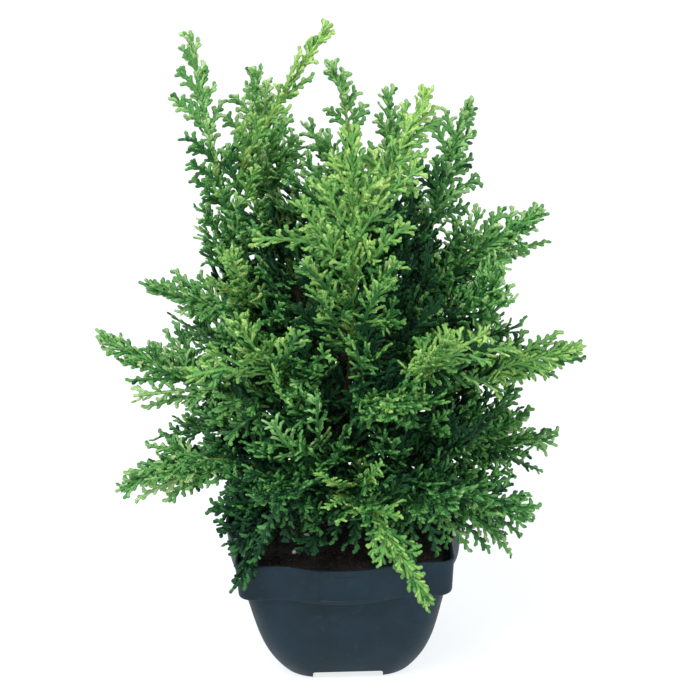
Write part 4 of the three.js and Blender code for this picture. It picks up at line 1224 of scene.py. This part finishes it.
def grow_spray(shoots, line, breadth, thickness, turn, light, spacing=None, first=0.04):
    """Fans and branchlets by turns left and right along a line, and the line itself as two long shoots."""
    start, knee, end = line
    spacing = spacing or SPRAY_STEPS[breadth >= NARROW]
    share = np.linspace(0, 1, 60)
    travelled = lengths_along(bent(start, knee, end, share))
    n = max(int(travelled[-1] * (1 - first) / spacing), 3)
    at = first + (1 - first) * (np.arange(n) + 0.5 + growth.uniform(-0.25, 0.25, n)) / n
    room = SPRAY_ENDS[breadth >= NARROW]
    t = np.interp(np.minimum(at * travelled[-1], travelled[-1] - room), travelled, share)
    places, ways = bent(start, knee, end, t), bent_way(start, knee, end, t)
    sides, faces = frame_on_line(ways, start, end, math.radians(turn))
    fullness = np.sin(np.pi * t ** FULLEST_POWER) ** FULLNESS_POWER
    for i in range(n):
        roll = (i % 2) * math.pi + growth.normal(0, 0.3 + 0.75 * thickness / breadth)
        wide, deep = max(0.5 * breadth * fullness[i], 1), max(0.5 * thickness * fullness[i], 1)
        reach = 1 / math.hypot(math.cos(roll) / wide, math.sin(roll) / deep)
        lean = math.radians(FAN_ANGLE - FAN_CLOSING * t[i] + growth.uniform(-7, 7))
        length = float(np.clip(reach / math.sin(lean) * growth.uniform(0.82, 1.12), *FAN_LENGTHS))
        out = sides[i] * math.cos(roll) + faces[i] * math.sin(roll)
        way = unit(ways[i] * math.cos(lean) + out * math.sin(lean) + growth.normal(0, 0.05, 3))
        upper = unit(np.cross(way, ways[i]))
        upper = upper if upper @ UP >= 0 else -upper
        face = unit(upper * 0.75 + square_to(UP, way) * 0.45 + growth.normal(0, 0.22, 3))
        local_light = light + 0.5 * (t[i] - 0.5)
        if length > BRANCHLET_FROM and t[i] > 0.25:
            grow_branchlet(shoots, places[i], way, face, length - 7, local_light, growth.uniform(-0.05, 0.22))
        else:
            grow_fan(shoots, places[i], way, face, length, local_light, fine=1.0 if t[i] > 0.33 else 0.5)
    for low, high in LINE_SHARES:
        t0, t1 = np.interp(np.array([low, high]) * travelled[-1], travelled, share)
        p0, p1 = bent(start, knee, end, np.array([t0, t1]))
        w0, w1 = bent_way(start, knee, end, np.array([t0, t1]))
        length = np.linalg.norm(p1 - p0)
        bend = (w1 - w0) / length
        way = unit(p1 - p0 - 0.5 * bend * length ** 2)
        side = frame_on_line(w0[None], start, end, math.radians(turn))[0]
        shade = np.clip(round(light), 0, LIGHTEST)
        tip_shade = np.clip(round(light) + 1, 0, LIGHTEST)
        shoots.add([p0], [way], side, [bend], length, SHOOT_WIDTH, shade, tip_shade, 1.0)


print("fans of a spray are", FAN_LENGTHS[0], "to", FAN_LENGTHS[1], "mm long")

# %% [markdown]
# A twig of the outline finds its root on its parent's line and is then one fan, or a small spray where it
# is broad. Main stems are clothed in short shoots pressed close to them, and a tuft of small fans ends a
# stem.

# %% Twigs, clothed stems and tufts
TWIG_FAN_BREADTH, TWIG_FAN_LENGTH, LEADER_HEIGHT, CLOTHED_CURL = 16, 30, 262.0, 0.02


def nearest_on(parent, across, down):
    """Place and direction on a parent line, a spray's or a limb's, where it is seen nearest to a pixel."""
    if parent in SPRAYS:
        line = bent(*spray_line(parent), np.linspace(0.0, 0.95, 96))
    else:
        line = LIMBS[parent]["points"]
    apart = np.linalg.norm(seen_at(line) - [across, down], axis=1)
    at = max(int(np.argmin(apart)), 1)
    return line[at], unit(line[at] - line[at - 1])


def grow_twig(shoots, parent, twig):
    """A flat twig from the nearest place on its parent's line to a tip of its own."""
    base, along = nearest_on(parent, twig.from_across, twig.from_down)
    tip = place_seen(twig.tip_across, twig.tip_down, twig.depth)
    length = 1.03 * np.linalg.norm(tip - base)
    way = unit(unit(tip - base) + 0.4 * along)
    bend = 2 * (tip - base - way * length) / length ** 2
    outward = unit(np.array([tip[0], tip[1], 0.0]))
    facing = 1.0 if tip[2] > LEADER_HEIGHT else 0.5
    face = outward * (1 - facing) + UP * 0.5 + FRONT * facing + growth.normal(0, 0.12, 3)
    if twig.breadth < TWIG_FAN_BREADTH or length < TWIG_FAN_LENGTH:
        grow_fan(shoots, base, way, face, length, twig.light, breadth=0.88 * twig.breadth, bend=bend)
    else:
        line = base, base + way * length / 2, tip
        side, upper = frame_on_line(way[None], base, tip, 0.0)
        wanted = square_to(face, way)
        turn = math.degrees(math.atan2(-(wanted @ side[0]), wanted @ upper[0]))
        grow_spray(shoots, line, twig.breadth, 0.4 * twig.breadth, turn, twig.light, spacing=3.6)


def clothe(shoots, line, low, high, length, light, spacing):
    """Short shoots pressed close along a stem, from one share of its line to another."""
    travelled = lengths_along(line)
    at = np.arange(low * travelled[-1], high * travelled[-1], spacing)
    here, ahead = (points_at(line, travelled, a) for a in (at, at + 1.0))
    n = len(at)
    ways = unit(ahead - here)
    across = square_to(np.cross(ways, FRONT + 0.3 * UP), ways)
    turn = np.pi * np.arange(n) + growth.normal(0, 0.6, n)
    out = across * np.cos(turn)[:, None] + np.cross(ways, across) * np.sin(turn)[:, None]
    lean = np.radians(growth.uniform(20, 32, n))[:, None]
    shoot_ways = unit(ways * np.cos(lean) + out * np.sin(lean))
    sides = square_to(np.cross(shoot_ways, FRONT), shoot_ways)
    shade = np.clip(np.round(light + growth.normal(0, 0.4, n)), 0, LIGHTEST)
    lengths = length * growth.uniform(0.75, 1.2, n)
    shoots.add(here, shoot_ways, sides, square_to(ways, shoot_ways) * CLOTHED_CURL, lengths,
               SHOOT_WIDTH, shade, np.clip(shade + 1, 0, LIGHTEST), 1.0)


def grow_tuft(shoots, base, outward, light, count=3, length=17.0):
    """A few small fans that part from one point round an outward direction."""
    outward = unit(outward)
    x = unit(np.cross(outward, UP + 0.01 * FRONT))
    y = np.cross(outward, x)
    first = growth.uniform(0, 2 * math.pi)
    for k in range(count):
        turn = first + 2 * math.pi * k / count
        way = unit(outward + (x * math.cos(turn) + y * math.sin(turn)) * growth.uniform(0.4, 0.9) + 0.25 * UP)
        grow_fan(shoots, base, way, UP * 0.6 + outward * 0.4 + growth.normal(0, 0.4, 3),
                 length * growth.uniform(0.8, 1.15), light)


print("twigs broader than", TWIG_FAN_BREADTH, "mm are small sprays")

# %% [markdown]
# Now everything grows, in a fixed order: first each spray on its own line, then the twigs, then the short
# shoots along the stems. A spray whose outline has twigs of its own is kept to two thirds of its solid,
# which leaves the twigs room.

# %% Grow the sprays, their twigs and the shoots along their stems
GOLDEN_SPRAYS = ("slanted_tip_spray", "slanted_leader", "front_top_spray", "front_leader_spray",
                 "front_skirt_spray", "right_front_spray", "left_front_spray", "left_flank_spray",
                 "front_bough_spray", "right_long_spray")
FULL_WITH_TWIGS, FULL_ALONE = 0.66, 0.92
pieces = {}
for name, spray in SPRAYS.items():
    shoots = pieces.setdefault(spray.piece, Shoots())
    full = FULL_WITH_TWIGS if name in TWIGS else FULL_ALONE
    shoots.golden = name in GOLDEN_SPRAYS
    grow_spray(shoots, spray_line(name), full * spray.breadth, full * spray.thickness, spray.turn,
               spray.light)
for parent, rows in TWIGS.items():
    shoots = pieces[SPRAYS[parent].piece if parent in SPRAYS else "upper"]
    shoots.golden = parent in GOLDEN_SPRAYS
    for row in rows:
        grow_twig(shoots, parent, Twig(*row))
for name, spray in SPRAYS.items():
    line = bent(*spray_line(name), np.linspace(0, 1, 60))
    pieces[spray.piece].golden = name in GOLDEN_SPRAYS
    if spray.piece == "upper":
        clothe(pieces["upper"], line, low=0.35, high=0.97, length=5.0, light=spray.light, spacing=2.1)
    else:
        clothe(pieces[spray.piece], line, low=0.0, high=0.95, length=9.0, light=spray.light, spacing=2.8)
pieces["upper"].golden = True
clothe(pieces["upper"], LIMBS["slanted_leader"]["points"], low=0.62, high=1.0, length=4.5, light=3.2,
       spacing=3.4)
pieces["upper"].golden = False
clothe(pieces["upper"], LIMBS["trunk"]["points"], low=0.6, high=1.0, length=8.0, light=2.2, spacing=2.4)
print({name: len(shoots.all_rows()) for name, shoots in pieces.items()}, "shoots")

# %% [markdown]
# Behind the outer sprays the plant is filled with sparser ones, in rings from the bottom up, each from near
# the trunk outward. They are half hidden and give the crown its body on all sides. Their green is darker
# downward and lighter upward, which paints the shade low in the crown and the light at its top.

# %% Infill sprays from the trunk outward
INFILL_RINGS = [(100, 64, 74, 10), (118, 74, 82, 12), (138, 80, 86, 13), (158, 82, 86, 13), (180, 74, 80, 13),
                (202, 68, 74, 12), (224, 62, 66, 11), (246, 54, 56, 9), (266, 46, 46, 7)]
INFILL_PIECES = [(150, "infill_low"), (212, "infill_middle"), (300, "infill_high")]
INFILL_ROOT, INFILL_ROOT_BACK, INFILL_LOWEST_ROOT, INFILL_CLIMB = 0.16, 4, 96.0, 0.42
FRONT_RISE, FRONT_RISE_BELOW, INFILL_ARCH, INFILL_ARCH_BELOW = 20, 130, 8, 170
INFILL_PAINTED_SHADE, INFILL_PAINTED_LIGHT_GAIN, INFILL_LIGHT_SPAN = 0.8, 1.3, 168
for order, (height, half_across, half_deep, count) in enumerate(INFILL_RINGS):
    for j in range(count):
        azimuth = 2 * math.pi * (j + 0.5 * (order % 2) + growth.uniform(-0.2, 0.2)) / count
        across, back = math.cos(azimuth), math.sin(azimuth)
        extent = growth.uniform(0.88, 1.0)
        lift = FRONT_RISE * max(0.0, -back) * (height < FRONT_RISE_BELOW)
        raised = height + lift + growth.uniform(-5, 5)
        tip = np.array([half_across * extent * across, half_deep * extent * back, raised])
        root = np.array([INFILL_ROOT * tip[0], INFILL_ROOT * tip[1] + INFILL_ROOT_BACK,
                         max(raised - INFILL_CLIMB * half_across, INFILL_LOWEST_ROOT)])
        knee = (root + tip) / 2 + UP * (INFILL_ARCH if height < INFILL_ARCH_BELOW else 0)
        shoots = pieces.setdefault(next(name for below, name in INFILL_PIECES if height < below), Shoots())
        # Painted shade: the rings get lighter with height.
        light = INFILL_PAINTED_SHADE + INFILL_PAINTED_LIGHT_GAIN * (height - INFILL_RINGS[0][0]) / INFILL_LIGHT_SPAN
        grow_spray(shoots, (root, knee, tip), breadth=34, thickness=16, turn=growth.uniform(-30, 30),
                   light=light, spacing=5.2, first=0.3)
        grow_tuft(shoots, tip - 0.12 * (tip - root), tip - root, light + 0.4)
print("infill:", {name: len(pieces[name].all_rows()) for _, name in INFILL_PIECES}, "shoots")

# %% [markdown]
# Half way out stands a curtain of shaded fans. Their dark green, a little lighter towards the top, is partly
# old leaves' own and partly painted shade inside the crown. A turn of the golden angle from each to the next
# spreads them evenly all round, and so no gap shows through the middle.

# %% A curtain of shaded fans half way out
GOLDEN_ANGLE = math.pi * (3 - math.sqrt(5))
CURTAIN_COUNT, CURTAIN_LOW, CURTAIN_HIGH = 270, 94.0, 250.0
CURTAIN_RADII = [(90, 46), (110, 66), (195, 68), (235, 38), (270, 30)]
CURTAIN_AXIS, CURTAIN_RISE, LOW_RISE, LOW_RISE_BELOW = np.array([4.0, 4.0, 0.0]), 0.75, 0.3, 120
curtain = pieces.setdefault("curtain", Shoots())
for j in range(CURTAIN_COUNT):
    height = CURTAIN_LOW + (CURTAIN_HIGH - CURTAIN_LOW) * (j + growth.uniform(0, 1)) / CURTAIN_COUNT
    azimuth = GOLDEN_ANGLE * j + growth.uniform(-0.2, 0.2)
    radius = np.interp(height, *zip(*CURTAIN_RADII)) * growth.uniform(0.7, 1.0)
    outward = np.array([math.cos(azimuth), math.sin(azimuth), 0.0])
    here = outward * radius + UP * height + CURTAIN_AXIS
    rise = CURTAIN_RISE if height > LOW_RISE_BELOW else LOW_RISE
    fan_way = unit(UP * rise + outward * 0.45 + growth.normal(0, 0.35, 3))
    # Dark green, a little lighter upward: partly old leaves' own, partly painted shade.
    grow_fan(curtain, here, fan_way, outward + growth.normal(0, 0.25, 3), length=growth.uniform(28, 40),
             light=0.7 + 0.6 * (height - CURTAIN_LOW) / (CURTAIN_HIGH - CURTAIN_LOW), fine=0.5)
print("curtain:", len(curtain.all_rows()), "shoots")

# %% [markdown]
# The boughs carry fans too. They are seldom seen, so their shoots have about half as many scales, but they
# close the view through the plant and give it a dark heart. Their dark green is partly old leaves' own and
# partly painted shade.

# %% Fans along the boughs
INNER_TOP, INNER_STEP = 245.0, 6.5
inner = pieces.setdefault("inner", Shoots())
for order, (name, limb) in enumerate(LIMBS.items()):
    line = limb["points"]
    travelled = lengths_along(line)
    first = 0.22 if name == "trunk" else 0.45
    for j, at in enumerate(np.arange(travelled[-1] * first, travelled[-1] - 1.5, INNER_STEP)):
        here, ahead = (points_at(line, travelled, a) for a in (at, at + 1.4))
        if here[2] > INNER_TOP:
            break
        way = unit(ahead - here)
        x = unit(np.cross(way, [0.3, 0.9, 0.1]))
        out = x * math.cos(GOLDEN_ANGLE * j + order) + np.cross(way, x) * math.sin(GOLDEN_ANGLE * j + order)
        fan_way = unit(way * 0.55 + out * 0.83 + UP * 0.1)
        # Dark green for a fan inside the crown: partly old leaves' own, partly painted shade.
        grow_fan(inner, here, fan_way, unit(square_to(UP, fan_way) + growth.normal(0, 0.3, 3)),
                 length=growth.uniform(20, 32), light=1.2, fine=0.5)
print("inner fans:", len(inner.all_rows()), "shoots")

# %% [markdown]
# ## Scales from numbers
# A shoot's scales sit in crossed pairs: a pair on its edges, then a pair on its faces. So its outline is a
# saw with rounded teeth that point forward. Four corners to a ring are enough: a ring widens over an edge
# pair and thins over a face pair, and smooth shading rounds the rest. All shoots with the same number of
# pairs are made in one sweep of array arithmetic.

# %% Turn rows of shoots into rings of corners and faces
PAIR_LENGTH, COARSE_PAIR = 3.3, 2.2
EDGE_WIDTH, EDGE_THICK, FACE_WIDTH, FACE_THICK = 1.0, 0.5, 0.7, 0.6
BASE_WIDTH, BASE_THICK, TIP_WIDTHS, TIP_THICKS = 0.7, 0.5, [0.92, 0.52], [0.56, 0.36]
EDGE_AT, TIP_AT, SHOOT_TAPER = 0.62, 0.25, 0.12
COLLAR = COLLAR_HALF, COLLAR_CORNER, COLLAR_BULGE
COLLAR_CLEAR, BODY_CLEAR, LIP_CLEAR, UNDER_COLLAR, COMPOST_CLEAR = 1.6, 1.4, 1.2, 1.5, 81.0


def clear_of_pot(rows):
    """Leaves out shoots whose start, middle or end would lie in the pot's wall or in the compost."""
    keep = np.ones(len(rows), bool)
    for share in (0.0, 0.5, 1.0):
        p, _ = on_shoot(rows[:, PLACE], rows[:, WAY], rows[:, BEND], rows[:, LENGTH] * share)
        angle, radius = np.arctan2(p[:, 1], p[:, 0]), np.hypot(p[:, 0], p[:, 1])
        outer = section(angle, *COLLAR) + COLLAR_CLEAR
        inner_lip = section(angle, *(size - WALL for size in COLLAR)) - COLLAR_CLEAR
        body = section(angle, BODY_HALF, BODY_CORNER) + BODY_CLEAR
        over_compost = (radius < inner_lip) & (p[:, 2] > COMPOST_CLEAR)
        in_wall = (p[:, 2] < POT_HEIGHT + LIP_CLEAR) & (radius < outer) & ~over_compost
        under_collar = (p[:, 2] < COLLAR_FOOT - UNDER_COLLAR) & (radius > body)
        keep &= ~in_wall | under_collar
    return rows[keep]


def shoot_mesh(name, rows):
    """One mesh piece from rows of shoots."""
    rows = clear_of_pot(rows)
    per_pair = np.where(rows[:, FINENESS] > FINE_FROM, PAIR_LENGTH, COARSE_PAIR * PAIR_LENGTH)
    pairs = np.clip(np.round(rows[:, LENGTH] / per_pair), 1, 30).astype(int)
    all_corners, all_quads, all_shades, taken = [], [], [], 0
    for n in np.unique(pairs):
        group = rows[pairs == n]
        share, wide, thick = [0.0], [BASE_WIDTH], [BASE_THICK]
        for k in range(n):
            share += [(k + EDGE_AT) / n, (k + 1) / n]
            wide += [EDGE_WIDTH, FACE_WIDTH]
            thick += [EDGE_THICK, FACE_THICK]
        wide[-2:], thick[-2:], share[-2:] = TIP_WIDTHS, TIP_THICKS, [(n - TIP_AT) / n, 1.0]
        share, wide, thick = (np.array(v) for v in (share, wide, thick))
        distance = group[:, LENGTH, None] * share
        place, way = on_shoot(group[:, None, PLACE], group[:, None, WAY], group[:, None, BEND], distance)
        side = square_to(group[:, None, SIDE], way)
        face = np.cross(way, side)
        half = 0.5 * group[:, WIDTH, None]
        taper = 1 - SHOOT_TAPER * share
        across = side * (half * wide * taper)[..., None]
        through = face * (half * thick * taper)[..., None]
        corners = np.stack([place + across, place + through, place - across, place - through], 2)
        index = taken + np.arange(corners[..., 0].size).reshape(corners.shape[:3])
        low, high = index[:, :-1], index[:, 1:]
        quads = np.stack([low, np.roll(low, -1, 2), np.roll(high, -1, 2), high], -1)
        main, tip = (group[:, column].astype(int) for column in (SHADE, TIP_SHADE))
        shade = np.broadcast_to(main[:, None, None], quads.shape[:3]).copy()
        shade[:, -2:] = tip[:, None, None]
        all_corners.append(corners.reshape(-1, 3))
        all_quads += [quads.reshape(-1, 4), index[:, -1]]
        all_shades += [shade.ravel(), tip]
        taken += index.size
    return new_mesh(name, np.vstack(all_corners), [np.vstack(all_quads)], LEAVES, np.concatenate(all_shades))


foliage = {}
for piece_name, shoots in pieces.items():
    piece = shoot_mesh("foliage_" + piece_name, shoots.all_rows())
    foliage[piece_name] = piece
    print(piece.name, count_triangles(piece), "triangles")
print("foliage in all:", sum(count_triangles(p) for p in foliage.values()), "triangles")

# %% Stems inside the sprays
STEM_RADIUS, STEM_THINNING, STEM_END = 1.05, 0.75, 0.8
stem_lines = []
for order, name in enumerate(SPRAYS):
    share = np.linspace(0, STEM_END, 20)
    points, radii = bent(*spray_line(name), share), STEM_RADIUS - STEM_THINNING * share
    stem_lines.append(resampled(points, radii, step=3.0, wander=0.0, seed=50 + order))
slanted = LIMBS["slanted_leader"]
stem_lines.append(resampled(slanted["points"], slanted["radii"], step=2.0, wander=0.0, seed=90))
lines = line_mesh("spray_stem_lines", stem_lines)
stems = grown(lines, STEMS, "spray_stems", Sides=7, Strips_round=1.5, Strips_along=120.0, Relief=0.0002,
              Finish=STEM)
bpy.data.objects.remove(lines)
print("spray_stems:", count_triangles(stems), "triangles")

# %% [markdown]
# ## What each piece stands for
# Every piece rides on the one body of the frame, and the frame's solids that the pieces stand for are hidden.

# %% Attach the pieces
for piece, slot in ((pot, "pot"), (soil, "soil"), (crumbs, "soil"), (chips, "soil"), (fibres, "soil"),
                    (prills, "soil"), (bark, "bark"), (stems, "bark")):
    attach(piece, "root")
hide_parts("pot")
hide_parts("soil")
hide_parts(*[name for name in LIMBS if name != "slanted_leader"])
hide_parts("slanted_leader")
for piece_name, piece in foliage.items():
    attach(piece, "root")
    nodes = [name for name, spray in SPRAYS.items() if spray.piece == piece_name]
    if nodes:
        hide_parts(*nodes)

# %% [markdown]
# ## Floor and light
# The plant stands on a plain white surface in a bright room with white walls, so light comes from all round
# and only a large soft source above and in front gives a direction. The floor glows, though it is no lamp:
# its glow lights the pot and the plant from below and washes out the shadows that they cast on it.

# %% Floor, sky and soft boxes
def matt_white_board():
    material, tree, shader = new_material("matt_white_board")
    # The glow is painted light: the floor is no lamp, but it lights the plant from below and washes out its
    # shadows.
    fill(tree, shader, Base_Color=linear("#8c9092"), Emission_Color=linear("#fbfeff"), Emission_Strength=0.8,
         Roughness=0.85, Specular_IOR_Level=0.2)
    return material


bpy.ops.mesh.primitive_plane_add(size=60.0, location=(0, 0, 0))
floor = bpy.context.object
floor.name = "floor"
floor.data.materials.append(matt_white_board())

world = bpy.data.worlds.new("white_room")
bpy.context.scene.world = world
world.use_nodes = True
fill(world.node_tree, world.node_tree.nodes["Background"], Color=linear("#ffffff"), Strength=0.8)
PLANT_MIDDLE = Vector((0, 0, 0.2))


def soft_box(name, place, size, watts):
    """A square area light that looks at the middle of the plant."""
    light = bpy.data.lights.new(name, "AREA")
    light.shape, light.size, light.size_y, light.energy = "RECTANGLE", size, size, watts
    lamp = link_object(name, light)
    lamp.location = place
    lamp.rotation_euler = (PLANT_MIDDLE - Vector(place)).to_track_quat("-Z", "Y").to_euler()


soft_box("key_light", place=(-0.5, -0.9, 1.5), size=0.7, watts=22.0)
soft_box("fill_light", place=(0.9, -0.6, 1.0), size=0.8, watts=5.0)
